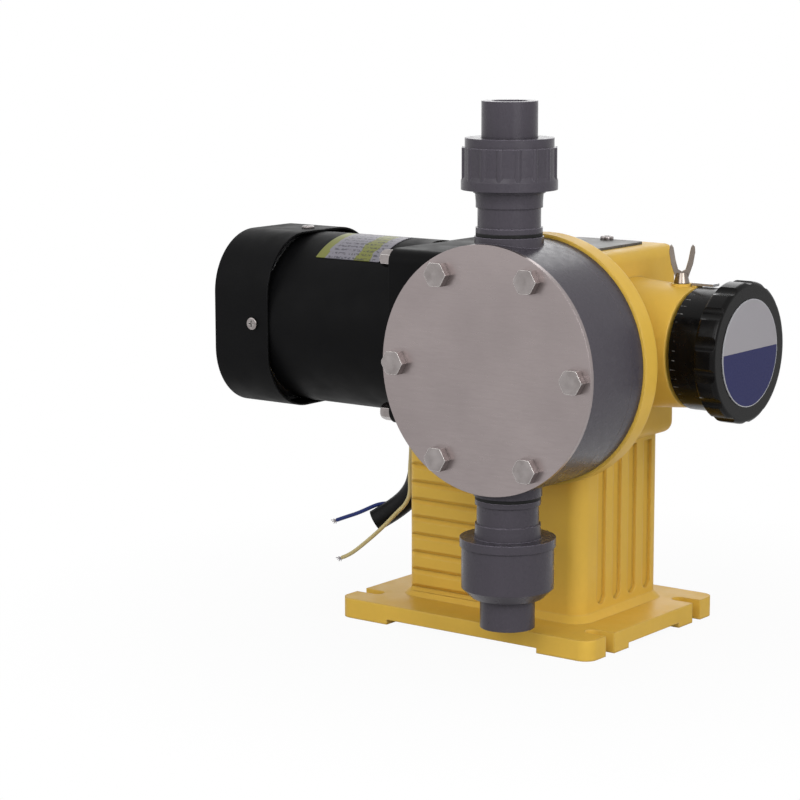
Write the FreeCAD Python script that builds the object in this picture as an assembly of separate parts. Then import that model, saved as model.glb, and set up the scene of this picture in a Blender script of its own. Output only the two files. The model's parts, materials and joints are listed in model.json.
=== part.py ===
import FreeCAD
import Part
import math
import os

# Mechanical diaphragm metering pump, in millimetres.
# The origin is the middle of the base's underside. +Z is up, -Y is the pump head's side,
# +X is the stroke knob's side and -X is the motor's side.

V = FreeCAD.Vector
X_AXIS = V(1, 0, 0)
Y_AXIS = V(0, 1, 0)
Z_AXIS = V(0, 0, 1)

# Clearances
RUNNING = 0.05
SLIP = 0.2
TOUCH_GAP = 0.3
BALL_GAP = 0.05

# Base plate of the casting
BASE_LENGTH = 180.0
BASE_DEPTH = 140.0
BASE_TOP = 12.0
BASE_CORNER = 8.0
PAD_HEIGHT = 3.0
PAD_LENGTH = 36.0
PAD_DEPTH = 42.0
SLOT_WIDTH = 9.0
SLOT_SPACING_X = 156.0
SLOT_SPACING_Y = 96.0

# Pedestal
PEDESTAL_LENGTH = 126.0
PEDESTAL_FRONT = -39.0
PEDESTAL_REAR = 49.0
PEDESTAL_WALL = 6.0
PEDESTAL_CORNER = 9.0
FOOT_FLARE = 4.0
RIB_PITCH = 10.8
RIB_COUNT = 8
RIB_FIRST = 2.5
RIB_DEPTH = 2.4
RIB_HEIGHT = 4.6
RIB_END = 5.0
FLUTE_WIDTH = 9.0
FLUTE_DEPTH = 2.5
FLUTE_PITCH = 16.6
FLUTE_COUNT = 4
FLUTE_SHIFT = 4.0
FLUTE_LOW = 12.0

# Gearbox block
BLOCK_LEFT = -5.0
BLOCK_RIGHT = 68.0
BLOCK_FRONT = -43.0
BLOCK_REAR_INSET = 3.0
BLOCK_BOTTOM = 112.0
BLOCK_TOP = 226.0
BLOCK_WALL = 7.0
BLOCK_ROUND = 7.0
GUSSET_RISE = 46.0
GUSSET_THICKNESS = 6.0
GUSSET_LENGTH = 36.0
DRIVE_Y = 8.0
DRIVE_Z = 169.5
KNOB_Z = 172.5

# Pump head stack, from the front to the back along Y
HEAD_X = 47.0
HEAD_Z = 168.0
HEAD_RADIUS = 70.0
PLATE_FRONT = -113.0
PLATE_THICKNESS = 3.0
HEAD_THICKNESS = 39.0
RING_THICKNESS = 11.0
RING_BORE = 40.0
FLANGE_RADIUS = 72.0
FLANGE_THICKNESS = 14.0
FLANGE_ROUND = 3.0
NECK_RADIUS = 58.0
FITTING_Y = -89.0
BOLT_CIRCLE = 60.0
BOLT_COUNT = 6
BOLT_RADIUS = 4.0
BOLT_HOLE = 4.5
BOLT_FLATS = 13.0
BOLT_HEAD = 5.3
BOLT_THREAD = 10.0

# Diaphragm and its rod
DIAPHRAGM_RADIUS = 52.0
DIAPHRAGM_THICKNESS = 3.0
DIAPHRAGM_HUB = 20.0
CHAMBER_RADIUS = 38.0
CHAMBER_DEPTH = 8.0
DISC_RADIUS = 17.0
DISC_THICKNESS = 4.0
ROD_RADIUS = 8.0
STUD_RADIUS = 5.0
STUD_LENGTH = 1.5
BUSH_RADIUS = 12.0
BUSH_LENGTH = 18.0
TAPPET_RADIUS = 13.5
TAPPET_THICKNESS = 5.0
ARM_MARGIN = 5.0
NOSE_RADIUS = 2.5
SPRING_POCKET = 15.0
SPRING_WIRE = 2.5
SPRING_MEAN = 11.5
SPRING_TURNS = 5.0

# Eccentric drive
ECCENTRICITY = 4.0
ECCENTRIC_RADIUS = 12.0
ECCENTRIC_WIDTH = 16.0
CAM_BEARING_RADIUS = 17.0
SHAFT_RADIUS = 7.5
SHAFT_BEARING_RADIUS = 16.0
SHAFT_BEARING_WIDTH = 9.0
CAM_WEB_X = 18.0
WEB_THICKNESS = 12.0
WEB_RISE = 26.0

# Gearhead between the block and the motor, and its reduction gears
GEARHEAD_LENGTH = 66.0
GEARHEAD_INSET = 0.8
GEARHEAD_CORNER = 8.0
GEARHEAD_COVER = 10.0
GEARHEAD_WALL = 8.0
GEARHEAD_SIDE_WALL = 7.0
GEARHEAD_BOLT_INSET = 6.5
GEARHEAD_BOLT_RADIUS = 2.5
GEARHEAD_BOLT_DEPTH = 6.0
GEARHEAD_BOLT_FLATS = 9.5
GEARHEAD_BOLT_HEAD = 8.0
GEAR_MODULE = 0.8
PINION_TEETH = 15
WHEEL_TEETH = 45
GEAR_WIDTH = 10.0
GEAR_SPACE = 4.0
ADDENDUM = 0.8
DEDENDUM = 1.25
PRESSURE_ANGLE = 20.0
BACKLASH = 0.12
LAYSHAFT_RADIUS = 4.0
LAYSHAFT_SEAT = 5.0

# Motor
BARREL_RADIUS = 53.8
BARREL_WALL = 4.0
BARREL_LENGTH = 99.0
STATOR_BORE = 27.5
AIR_GAP = 0.5
STATOR_LENGTH = 50.0
STATOR_OFFSET = 18.0
WINDING_INNER = 31.0
WINDING_GAP = 4.8
WINDING_LENGTH = 8.0
MOTOR_SHAFT_RADIUS = 5.0
MOTOR_BEARING_RADIUS = 13.0
MOTOR_BEARING_WIDTH = 8.0
SHIELD_THICKNESS = 12.0
FAN_RADIUS = 42.0
FAN_HUB = 11.0
FAN_WIDTH = 12.0
FAN_BLADES = 8
FAN_BLADE_THICKNESS = 2.0
FAN_GAP = 3.0
COWL_GAP = 0.25
COWL_WALL = 1.2
COWL_CORNER = 38.0
COWL_LENGTH = 43.0
COWL_SCREW_RADIUS = 2.0
COWL_SCREW_HEAD = 4.0
COWL_SCREW_RISE = 1.6
VENT_COUNT = 12
VENT_INNER = 14.0
VENT_OUTER = 44.0
VENT_WIDTH = 5.0
NAMEPLATE_LENGTH = 49.0
NAMEPLATE_START = 22.0
NAMEPLATE_SPAN = 38.0
NAMEPLATE_EDGE = 1.0
NAMEPLATE_THICKNESS = 0.4

# Stroke adjuster
BOSS_LENGTH = 42.0
BOSS_ROOT_RADIUS = 38.0
BOSS_END_RADIUS = 34.5
BOSS_CAVITY = 28.0
CONE_TIP_RADIUS = 8.0
CONE_SLOPE = 0.5
CONE_LENGTH = 20.0
CONE_TIP_X = 58.0
CONE_TRAVEL = 8.0
NOSE_X = 71.0
THREAD_RADIUS = 5.0
SPINDLE_RADIUS = 6.0
SPINDLE_COLLAR = 9.0
SPINDLE_COLLAR_WIDTH = 3.0
SPINDLE_BUSH_LENGTH = 18.0
KEY_RADIUS = 2.5
KEY_X = 75.0
KEY_REACH = 9.0
WING_X = 100.0
WING_SCREW_RADIUS = 4.0
WING_BOSS_RADIUS = 6.0
WING_BOSS_TOP = 36.5
WING_HUB_RADIUS = 4.6
WING_HUB_HEIGHT = 6.0
WING_SPREAD = 7.4
WING_RISE = 22.0
WING_THICKNESS = 2.2
WING_TURN = 35.0
POINTER_X = 107.0
POINTER_LENGTH = 14.0
POINTER_WIDTH = 7.0
POINTER_THICKNESS = 1.5
POINTER_SEAT = 35.7
POINTER_SHIFT = 3.0

# Knob
KNOB_GAP = 3.0
COLLAR_RADIUS = 35.2
COLLAR_LENGTH = 18.5
KNOB_WALL = 4.0
GRIP_RADIUS = 40.5
GRIP_LENGTH = 13.5
GRIP_WEB = 8.0
GRIP_EDGE = 2.5
LOBE_COUNT = 14
SCALLOP_RADIUS = 7.0
SCALLOP_DEPTH = 1.6
HUB_RADIUS = 11.0
LABEL_RADIUS = 30.7
LABEL_THICKNESS = 0.6
KNOB_PIN_RADIUS = 1.5
KNOB_PIN_X = 5.0

# Valve stacks, measured from the head's middle outwards
VALVE_INNER = 48.0
HEAD_BOSS_ROOT = 12.0
HEAD_BOSS_END = 73.0
HEAD_BOSS_RADIUS = 19.3
ORING_THICKNESS = 2.0
ORING_RADIUS = 18.6
COLLAR_END = 92.0
VALVE_COLLAR_RADIUS = 18.6
COLLAR_RIM = 3.0
COLLAR_RECESS = 1.0
UNION_START = 97.0
UNION_THREAD_RADIUS = 20.0
UNION_THREAD_LENGTH = 13.0
VALVE_STEM_RADIUS = 14.0
VALVE_BORE = 11.0
TAIL_FLANGE = 5.0
TAIL_FLANGE_RADIUS = 19.6
TAIL_RADIUS = 15.6
DISCHARGE_TAIL_END = 147.3
SUCTION_TAIL_END = 149.0
TAIL_BORE = 7.5
SOCKET_RADIUS = 10.05
SOCKET_DEPTH = 16.0
NUT_RADIUS = 25.8
NUT_SKIRT_RADIUS = 26.8
NUT_SKIRT = 5.0
NUT_BODY_END = 122.0
NUT_RIB_COUNT = 16
NUT_RIB_RADIUS = 2.4
NUT_RIB_SINK = 1.5
NUT_COLLAR_RADIUS = 24.7
NUT_COLLAR_END = 127.2
DISCHARGE_NUT_START = 98.8
SUCTION_NUT_RADIUS = 26.2
SUCTION_BODY_END = 126.0
SUCTION_TAPER_END = 131.5
SUCTION_END_RADIUS = 20.5
PASSAGE_RADIUS = 6.0
PORT_RADIUS = 8.0
PORT_OFFSET = 24.0

# Balls and their seats
BALL_RADIUS = 6.35
SEAT_HOLE = 5.0
SEAT_THICKNESS = 5.0
BALL_LIFT = 3.0
CAGE_WALL = 1.5
CAGE_RIB = 2.0
CAGE_BAR = 2.5
DISCHARGE_SEAT_Z = 78.0
SUCTION_SEAT_Z = -90.0

# Covers, plugs and small screws
TOP_COVER_X = 31.25
TOP_COVER_Y = 14.0
TOP_COVER_LENGTH = 46.5
TOP_COVER_DEPTH = 54.0
TOP_COVER_THICKNESS = 1.5
TOP_OPENING_EDGE = 9.0
COVER_CORNER = 4.0
REAR_COVER_X = 31.0
REAR_COVER_LENGTH = 58.0
REAR_COVER_HEIGHT = 92.0
REAR_COVER_THICKNESS = 5.0
REAR_OPENING_EDGE = 10.0
COVER_SCREW_INSET = 5.0
COVER_SCREW_RADIUS = 2.0
COVER_SCREW_HEAD = 4.0
COVER_SCREW_RISE = 2.4
COVER_SCREW_DEPTH = 4.0
RECESS_WIDTH = 1.0
RECESS_DEPTH = 1.0
PLUG_RADIUS = 7.0
PLUG_HEAD_FLATS = 17.0
PLUG_HEAD = 6.0
PLUG_X = 42.0
FILL_PLUG_INSET = 22.0
DRAIN_PLUG_INSET = 16.0
GLASS_X = 22.0
GLASS_RADIUS = 9.0
GLASS_BEZEL = 12.0
GLASS_BEZEL_RISE = 3.0
GLASS_DROP = 16.0

# Motor lead
CABLE_RADIUS = 7.0
CORE_RADIUS = 1.3
GLAND_X = -87.0
GLAND_RADIUS = 12.0
GLAND_HEIGHT = 12.0
GLAND_FLATS = 24.0
GLAND_NUT = 5.0
CABLE_POINTS = [(-87.0, 8.0, 91.0), (-88.5, 9.5, 77.7), (-94.8, 11.8, 62.5), (-106.6, 8.7, 50.7),
                (-118.0, 2.0, 42.9)]
BLUE_POINTS = [(-109.8, 7.5, 54.2), (-114.4, 6.0, 53.9), (-119.6, 4.5, 52.3), (-125.1, 3.5, 49.5),
               (-132.8, 3.0, 45.7), (-141.4, 2.5, 42.4), (-149.6, 2.5, 39.1)]
YELLOW_Y = -1.5
YELLOW_SEAT = 3.0
YELLOW_POINTS = [(-87.0, YELLOW_Y, 92.0), (-87.5, -2.5, 78.0), (-87.6, -1.5, 64.4), (-91.1, -2.5, 57.1),
                 (-96.7, -3.5, 51.8), (-104.2, -5.0, 43.7), (-111.4, -6.0, 36.8), (-124.3, -6.0, 26.3),
                 (-133.2, -6.0, 19.9), (-138.9, -6.0, 17.5)]

# Places that several pieces share
GEARHEAD_SIZE = 2 * (BARREL_RADIUS - GEARHEAD_INSET)
GEARHEAD_BORE = GEARHEAD_SIZE / 2 - GEARHEAD_SIDE_WALL
GEARHEAD_BOLT_OFFSET = GEARHEAD_SIZE / 2 - GEARHEAD_BOLT_INSET
BLOCK_REAR = DRIVE_Y + GEARHEAD_SIZE / 2 - BLOCK_REAR_INSET
WINDING_OUTER = BARREL_RADIUS - BARREL_WALL - WINDING_GAP
COWL_SIZE = 2 * (BARREL_RADIUS + COWL_GAP + COWL_WALL)
PLATE_BACK = PLATE_FRONT + PLATE_THICKNESS
HEAD_BACK = PLATE_BACK + HEAD_THICKNESS
FLANGE_FRONT = HEAD_BACK + RING_THICKNESS
FLANGE_BACK = FLANGE_FRONT + FLANGE_THICKNESS
CAVITY_FRONT = BLOCK_FRONT + BLOCK_WALL
CAVITY_REAR = BLOCK_REAR - BLOCK_WALL
CAVITY_RIGHT = BLOCK_RIGHT - BLOCK_WALL
CAVITY_LEFT = BLOCK_LEFT + BLOCK_WALL
CAVITY_FLOOR = BLOCK_BOTTOM + BLOCK_WALL
CAVITY_ROOF = BLOCK_TOP - BLOCK_WALL
BUSH_FRONT = FLANGE_FRONT + 2
BUSH_BACK = BUSH_FRONT + BUSH_LENGTH
TAPPET_BACK = DRIVE_Y - CAM_BEARING_RADIUS - ECCENTRICITY - TOUCH_GAP
TAPPET_FRONT = TAPPET_BACK - TAPPET_THICKNESS
BOSS_END = BLOCK_RIGHT + BOSS_LENGTH
BUSH_X = BOSS_END - SPINDLE_BUSH_LENGTH
KNOB_X = BOSS_END + KNOB_GAP
GRIP_X = KNOB_X + COLLAR_LENGTH
KNOB_END = GRIP_X + GRIP_LENGTH
GEARHEAD_REAR = BLOCK_LEFT - GEARHEAD_LENGTH
GEARHEAD_INSIDE = GEARHEAD_REAR + GEARHEAD_WALL
COVER_REAR = BLOCK_LEFT - GEARHEAD_COVER
DECK_TOP = DRIVE_Z - GEARHEAD_SIZE / 2
CAM_WEB_END = CAM_WEB_X + WEB_THICKNESS
GEAR_SPACING = GEAR_MODULE * (PINION_TEETH + WHEEL_TEETH) / 2
FIRST_STAGE_X = GEARHEAD_INSIDE + GEAR_SPACE
SECOND_STAGE_X = FIRST_STAGE_X + GEAR_WIDTH + GEAR_SPACE
LAYSHAFT_Z = DRIVE_Z - GEAR_SPACING
BARREL_BACK = GEARHEAD_REAR - BARREL_LENGTH
SHIELD_BACK = BARREL_BACK - SHIELD_THICKNESS
SHIELD_MIDDLE = BARREL_BACK - SHIELD_THICKNESS / 2
FAN_X = SHIELD_BACK - FAN_GAP - FAN_WIDTH
COWL_FRONT = BARREL_BACK + SHIELD_THICKNESS / 2
COWL_BACK = COWL_FRONT - COWL_LENGTH
UNION_FACE = UNION_START + UNION_THREAD_LENGTH


def box(x0, x1, y0, y1, z0, z1):
    return Part.makeBox(x1 - x0, y1 - y0, z1 - z0, V(x0, y0, z0))


def rod_x(radius, x0, x1, y=DRIVE_Y, z=DRIVE_Z):
    return Part.makeCylinder(radius, x1 - x0, V(x0, y, z), X_AXIS)


def rod_y(radius, y0, y1, x=HEAD_X, z=HEAD_Z):
    return Part.makeCylinder(radius, y1 - y0, V(x, y0, z), Y_AXIS)


def rod_z(radius, z0, z1, x=HEAD_X, y=FITTING_Y):
    return Part.makeCylinder(radius, z1 - z0, V(x, y, z0), Z_AXIS)


def tube_x(outer, inner, x0, x1):
    return rod_x(outer, x0, x1).cut(rod_x(inner, x0, x1))


def knob_rod(radius, x0, x1):
    return rod_x(radius, x0, x1, DRIVE_Y, KNOB_Z)


def join(pieces):
    return pieces[0].multiFuse(pieces[1:]).removeSplitter()


def take(solid, cuts):
    return solid.cut(cuts)


def round_along(shape, direction, radius):
    edges = [e for e in shape.Edges if abs(e.tangentAt(e.FirstParameter).dot(direction)) > 0.999]
    return shape.makeFillet(radius, edges)


def copies_about(shape, centre, axis, count):
    turned = []
    for i in range(count):
        copy = shape.copy()
        copy.rotate(centre, axis, 360.0 * i / count)
        turned.append(copy)
    return turned


def hexagon(flats, height, start, axis):
    reach = flats / math.sqrt(3)
    points = [V(reach * math.cos(math.radians(60 * i)), reach * math.sin(math.radians(60 * i)), 0) for i in range(7)]
    prism = Part.Face(Part.makePolygon(points)).extrude(V(0, 0, height))
    blunt = Part.makeCone(reach + height / 2, reach - height / 12, height)
    prism = prism.common(blunt)
    prism.Placement = FreeCAD.Placement(start, FreeCAD.Rotation(Z_AXIS, axis))
    return prism


def cross_recess(start, axis):
    reach = COVER_SCREW_HEAD * 0.55
    bars = [Part.makeBox(2 * reach, RECESS_WIDTH, RECESS_DEPTH, V(-reach, -RECESS_WIDTH / 2, -RECESS_DEPTH)),
            Part.makeBox(RECESS_WIDTH, 2 * reach, RECESS_DEPTH, V(-RECESS_WIDTH / 2, -reach, -RECESS_DEPTH))]
    cross = bars[0].fuse(bars[1])
    cross.Placement = FreeCAD.Placement(start, FreeCAD.Rotation(Z_AXIS, axis))
    return cross


def screw(seat, axis, radius, depth, head_radius, rise):
    """A pan head screw: seat is the point under its head, axis points out of the head."""
    shank = Part.makeCylinder(radius, depth + rise / 2, seat - axis * depth, axis)
    head = Part.makeCylinder(head_radius, rise, seat, axis)
    head = head.makeFillet(rise * 0.45, [e for e in head.Edges if e.CenterOfMass.sub(seat).dot(axis) > rise * 0.9])
    return shank.fuse(head).cut(cross_recess(seat + axis * rise, axis))


def slot_points():
    return [V(sx * SLOT_SPACING_X / 2, sy * SLOT_SPACING_Y / 2, 0) for sx in (-1, 1) for sy in (-1, 1)]


def base_plate():
    half_x, half_y = BASE_LENGTH / 2, BASE_DEPTH / 2
    plate = round_along(box(-half_x, half_x, -half_y, half_y, 0, BASE_TOP), Z_AXIS, BASE_CORNER)
    arches = [box(-half_x + PAD_LENGTH, half_x - PAD_LENGTH, -half_y, half_y, 0, PAD_HEIGHT),
              box(-half_x, half_x, -half_y + PAD_DEPTH, half_y - PAD_DEPTH, 0, PAD_HEIGHT)]
    slots = []
    for point in slot_points():
        outward = math.copysign(1, point.x)
        ends = sorted((point.x, outward * half_x))
        slots.append(rod_z(SLOT_WIDTH / 2, 0, BASE_TOP, point.x, point.y))
        slots.append(box(ends[0], ends[1], point.y - SLOT_WIDTH / 2, point.y + SLOT_WIDTH / 2, 0, BASE_TOP))
    return take(plate, arches + slots)


def pedestal():
    half = PEDESTAL_LENGTH / 2
    body = round_along(box(-half, half, PEDESTAL_FRONT, PEDESTAL_REAR, PAD_HEIGHT, DECK_TOP),
                       Z_AXIS, PEDESTAL_CORNER)
    flare = box(-half - FOOT_FLARE, half + FOOT_FLARE, PEDESTAL_FRONT - FOOT_FLARE, PEDESTAL_REAR + FOOT_FLARE,
                BASE_TOP - 1, BASE_TOP + FOOT_FLARE)
    flare = round_along(flare, Z_AXIS, PEDESTAL_CORNER + FOOT_FLARE)
    top_edges = [e for e in flare.Edges if e.CenterOfMass.z > BASE_TOP + FOOT_FLARE - 0.01]
    flare = flare.makeChamfer(FOOT_FLARE * 0.98, top_edges)
    return body.fuse(flare)


def front_grooves():
    """V grooves across the left part of the pedestal's front."""
    cuts = []
    for i in range(RIB_COUNT):
        low = BASE_TOP + RIB_FIRST + i * RIB_PITCH
        corners = [V(0, PEDESTAL_FRONT - 1, low), V(0, PEDESTAL_FRONT, low),
                   V(0, PEDESTAL_FRONT + RIB_DEPTH, low + RIB_HEIGHT / 2),
                   V(0, PEDESTAL_FRONT, low + RIB_HEIGHT), V(0, PEDESTAL_FRONT - 1, low + RIB_HEIGHT)]
        face = Part.Face(Part.makePolygon(corners + corners[:1]))
        start = -PEDESTAL_LENGTH / 2 - 1
        groove = face.extrude(V(RIB_END - start, 0, 0))
        groove.translate(V(start, 0, 0))
        cuts.append(groove)
    return cuts


def side_flutes():
    cuts = []
    middle = (PEDESTAL_FRONT + PEDESTAL_REAR) / 2 + FLUTE_SHIFT
    low = BASE_TOP + FLUTE_LOW
    for side in (-1, 1):
        face = side * PEDESTAL_LENGTH / 2
        ends = sorted((face - side * FLUTE_DEPTH, face + side))
        for i in range(FLUTE_COUNT):
            y = middle + (i - (FLUTE_COUNT - 1) / 2) * FLUTE_PITCH
            cuts.append(rod_x(FLUTE_WIDTH / 2, ends[0], ends[1], y, low))
            cuts.append(box(ends[0], ends[1], y - FLUTE_WIDTH / 2, y + FLUTE_WIDTH / 2, low, BLOCK_BOTTOM - 2))
    return cuts


def bolt_places():
    return [V(HEAD_X + BOLT_CIRCLE * math.cos(math.radians(360.0 * i / BOLT_COUNT)), 0,
              HEAD_Z + BOLT_CIRCLE * math.sin(math.radians(360.0 * i / BOLT_COUNT))) for i in range(BOLT_COUNT)]


def head_bolt_holes(radius, y0, y1):
    return [rod_y(radius, y0, y1, p.x, p.z) for p in bolt_places()]


def top_screw_places():
    v = TOP_COVER_DEPTH / 2 - COVER_SCREW_INSET
    return [(TOP_COVER_X, TOP_COVER_Y + side * v) for side in (-1, 1)]


def rear_screw_places():
    u = REAR_COVER_LENGTH / 2 - COVER_SCREW_INSET
    v = REAR_COVER_HEIGHT / 2 - COVER_SCREW_INSET
    return [(REAR_COVER_X + sx * u, DRIVE_Z + sz * v) for sx in (-1, 1) for sz in (-1, 1)]


def gearhead_bolt_places():
    return [(DRIVE_Y + sy * GEARHEAD_BOLT_OFFSET, DRIVE_Z + sz * GEARHEAD_BOLT_OFFSET)
            for sy in (-1, 1) for sz in (-1, 1)]


def pointer_middle():
    return DRIVE_Y + POINTER_SHIFT


def gussets():
    """Two ribs that carry the overhanging side of the head flange on the block's right wall."""
    ribs = []
    corners = [V(CAVITY_RIGHT, FLANGE_BACK - 1, 0), V(HEAD_X + NECK_RADIUS - BLOCK_WALL, FLANGE_BACK - 1, 0),
               V(BLOCK_RIGHT, FLANGE_BACK + GUSSET_LENGTH, 0), V(CAVITY_RIGHT, FLANGE_BACK + GUSSET_LENGTH, 0)]
    for side in (-1, 1):
        rib = Part.Face(Part.makePolygon(corners + corners[:1])).extrude(V(0, 0, GUSSET_THICKNESS))
        rib.translate(V(0, 0, HEAD_Z + side * GUSSET_RISE - GUSSET_THICKNESS / 2))
        ribs.append(rib)
    return ribs


def head_flange():
    """The round flange, with the neck that stands on the block's front wall."""
    flange = rod_y(FLANGE_RADIUS, FLANGE_FRONT, FLANGE_BACK)
    flange = flange.makeFillet(FLANGE_ROUND, [e for e in flange.Edges if e.Closed and e.CenterOfMass.y > FLANGE_BACK - 1])
    neck = rod_y(NECK_RADIUS, FLANGE_BACK, CAVITY_FRONT)
    beside = box(HEAD_X - FLANGE_RADIUS, BLOCK_LEFT, FLANGE_BACK, CAVITY_FRONT, HEAD_Z - FLANGE_RADIUS, HEAD_Z + FLANGE_RADIUS)
    return flange.fuse(neck.cut(beside))


def housing_outside():
    block = box(BLOCK_LEFT, BLOCK_RIGHT, BLOCK_FRONT, BLOCK_REAR, BLOCK_BOTTOM, BLOCK_TOP)
    block = block.makeFillet(BLOCK_ROUND, block.Edges)
    boss = Part.makeCone(BOSS_ROOT_RADIUS, BOSS_END_RADIUS, BOSS_LENGTH, V(BLOCK_RIGHT, DRIVE_Y, KNOB_Z), X_AXIS)
    root = knob_rod(BOSS_ROOT_RADIUS, CAVITY_RIGHT, BLOCK_RIGHT)
    lock_boss = rod_z(WING_BOSS_RADIUS, KNOB_Z + BOSS_CAVITY, KNOB_Z + WING_BOSS_TOP, WING_X, DRIVE_Y)
    pointer_pad = box(POINTER_X, BOSS_END, pointer_middle() - POINTER_WIDTH / 2, pointer_middle() + POINTER_WIDTH / 2,
                      KNOB_Z + BOSS_CAVITY + 2, KNOB_Z + POINTER_SEAT)
    return join([base_plate(), pedestal(), block, root, boss, lock_boss, pointer_pad, head_flange()] + gussets())


def housing_cavities():
    half = PEDESTAL_LENGTH / 2 - PEDESTAL_WALL
    hollow = box(-half, half, PEDESTAL_FRONT + PEDESTAL_WALL, PEDESTAL_REAR - PEDESTAL_WALL, 0,
                 BLOCK_BOTTOM - PEDESTAL_WALL)
    hollow = round_along(hollow, Z_AXIS, PEDESTAL_CORNER - PEDESTAL_WALL)
    cavity = box(CAVITY_LEFT, CAVITY_RIGHT, CAVITY_FRONT, CAVITY_REAR, CAVITY_FLOOR, CAVITY_ROOF)
    web = box(CAM_WEB_X, CAM_WEB_END, CAVITY_FRONT - 1, CAVITY_REAR + 1, CAVITY_FLOOR - 1, DRIVE_Z + WEB_RISE)
    return [hollow, cavity.cut(web)]


def boss_cuts():
    return [knob_rod(BOSS_CAVITY, CAVITY_RIGHT - 1, BUSH_X),
            knob_rod(BUSH_RADIUS, BUSH_X, BOSS_END),
            rod_z(WING_SCREW_RADIUS + RUNNING, KNOB_Z, KNOB_Z + WING_BOSS_TOP, WING_X, DRIVE_Y),
            rod_z(KEY_RADIUS, KNOB_Z - BOSS_ROOT_RADIUS - 1, KNOB_Z, KEY_X, DRIVE_Y)]


def drive_cuts():
    """The eccentric's bearing seat in the web, its way through the left wall, and the rod's bores."""
    return [rod_x(SHAFT_BEARING_RADIUS, CAM_WEB_END - SHAFT_BEARING_WIDTH, CAM_WEB_END),
            rod_x(SHAFT_RADIUS + 1, CAM_WEB_X, CAM_WEB_END),
            rod_x(SHAFT_RADIUS + GEAR_SPACE, BLOCK_LEFT - 1, CAVITY_LEFT + 1),
            rod_y(BUSH_RADIUS, FLANGE_FRONT - 1, BUSH_BACK),
            rod_y(SPRING_POCKET, BUSH_BACK, CAVITY_FRONT + 1),
            rod_y(DISC_RADIUS + 2, FLANGE_FRONT - 1, BUSH_FRONT)]


def gearbox_housing():
    shape = take(housing_outside(), housing_cavities())
    shape = take(shape, front_grooves() + side_flutes())
    shape = take(shape, boss_cuts() + drive_cuts())
    cuts = head_bolt_holes(BOLT_RADIUS + RUNNING, FLANGE_FRONT - 1, FLANGE_FRONT + BOLT_THREAD + 1)
    opening_x = TOP_COVER_LENGTH / 2 - TOP_OPENING_EDGE
    opening_y = TOP_COVER_DEPTH / 2 - TOP_OPENING_EDGE
    cuts.append(box(TOP_COVER_X - opening_x, TOP_COVER_X + opening_x,
                    TOP_COVER_Y - opening_y, TOP_COVER_Y + opening_y, CAVITY_ROOF - 1, BLOCK_TOP + 1))
    opening_x = REAR_COVER_LENGTH / 2 - REAR_OPENING_EDGE
    opening_z = REAR_COVER_HEIGHT / 2 - REAR_OPENING_EDGE
    cuts.append(box(REAR_COVER_X - opening_x, REAR_COVER_X + opening_x, CAVITY_REAR - 1, BLOCK_REAR + 1,
                    DRIVE_Z - opening_z, DRIVE_Z + opening_z))
    hole = COVER_SCREW_RADIUS + RUNNING
    cuts += [rod_z(hole, BLOCK_TOP - COVER_SCREW_DEPTH - 1, BLOCK_TOP + 1, x, y) for x, y in top_screw_places()]
    cuts += [rod_y(hole, BLOCK_REAR - COVER_SCREW_DEPTH - 1, BLOCK_REAR + 1, x, z) for x, z in rear_screw_places()]
    cuts += [rod_x(GEARHEAD_BOLT_RADIUS + RUNNING, BLOCK_LEFT - 1, BLOCK_LEFT + GEARHEAD_BOLT_DEPTH + SLIP, y, z)
             for y, z in gearhead_bolt_places()]
    return take(shape, cuts)


def oil_plug(z):
    outer = BLOCK_REAR + REAR_COVER_THICKNESS
    shank = rod_y(PLUG_RADIUS, BLOCK_REAR, outer, PLUG_X, z)
    return shank.fuse(hexagon(PLUG_HEAD_FLATS, PLUG_HEAD, V(PLUG_X, outer, z), Y_AXIS))


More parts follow.
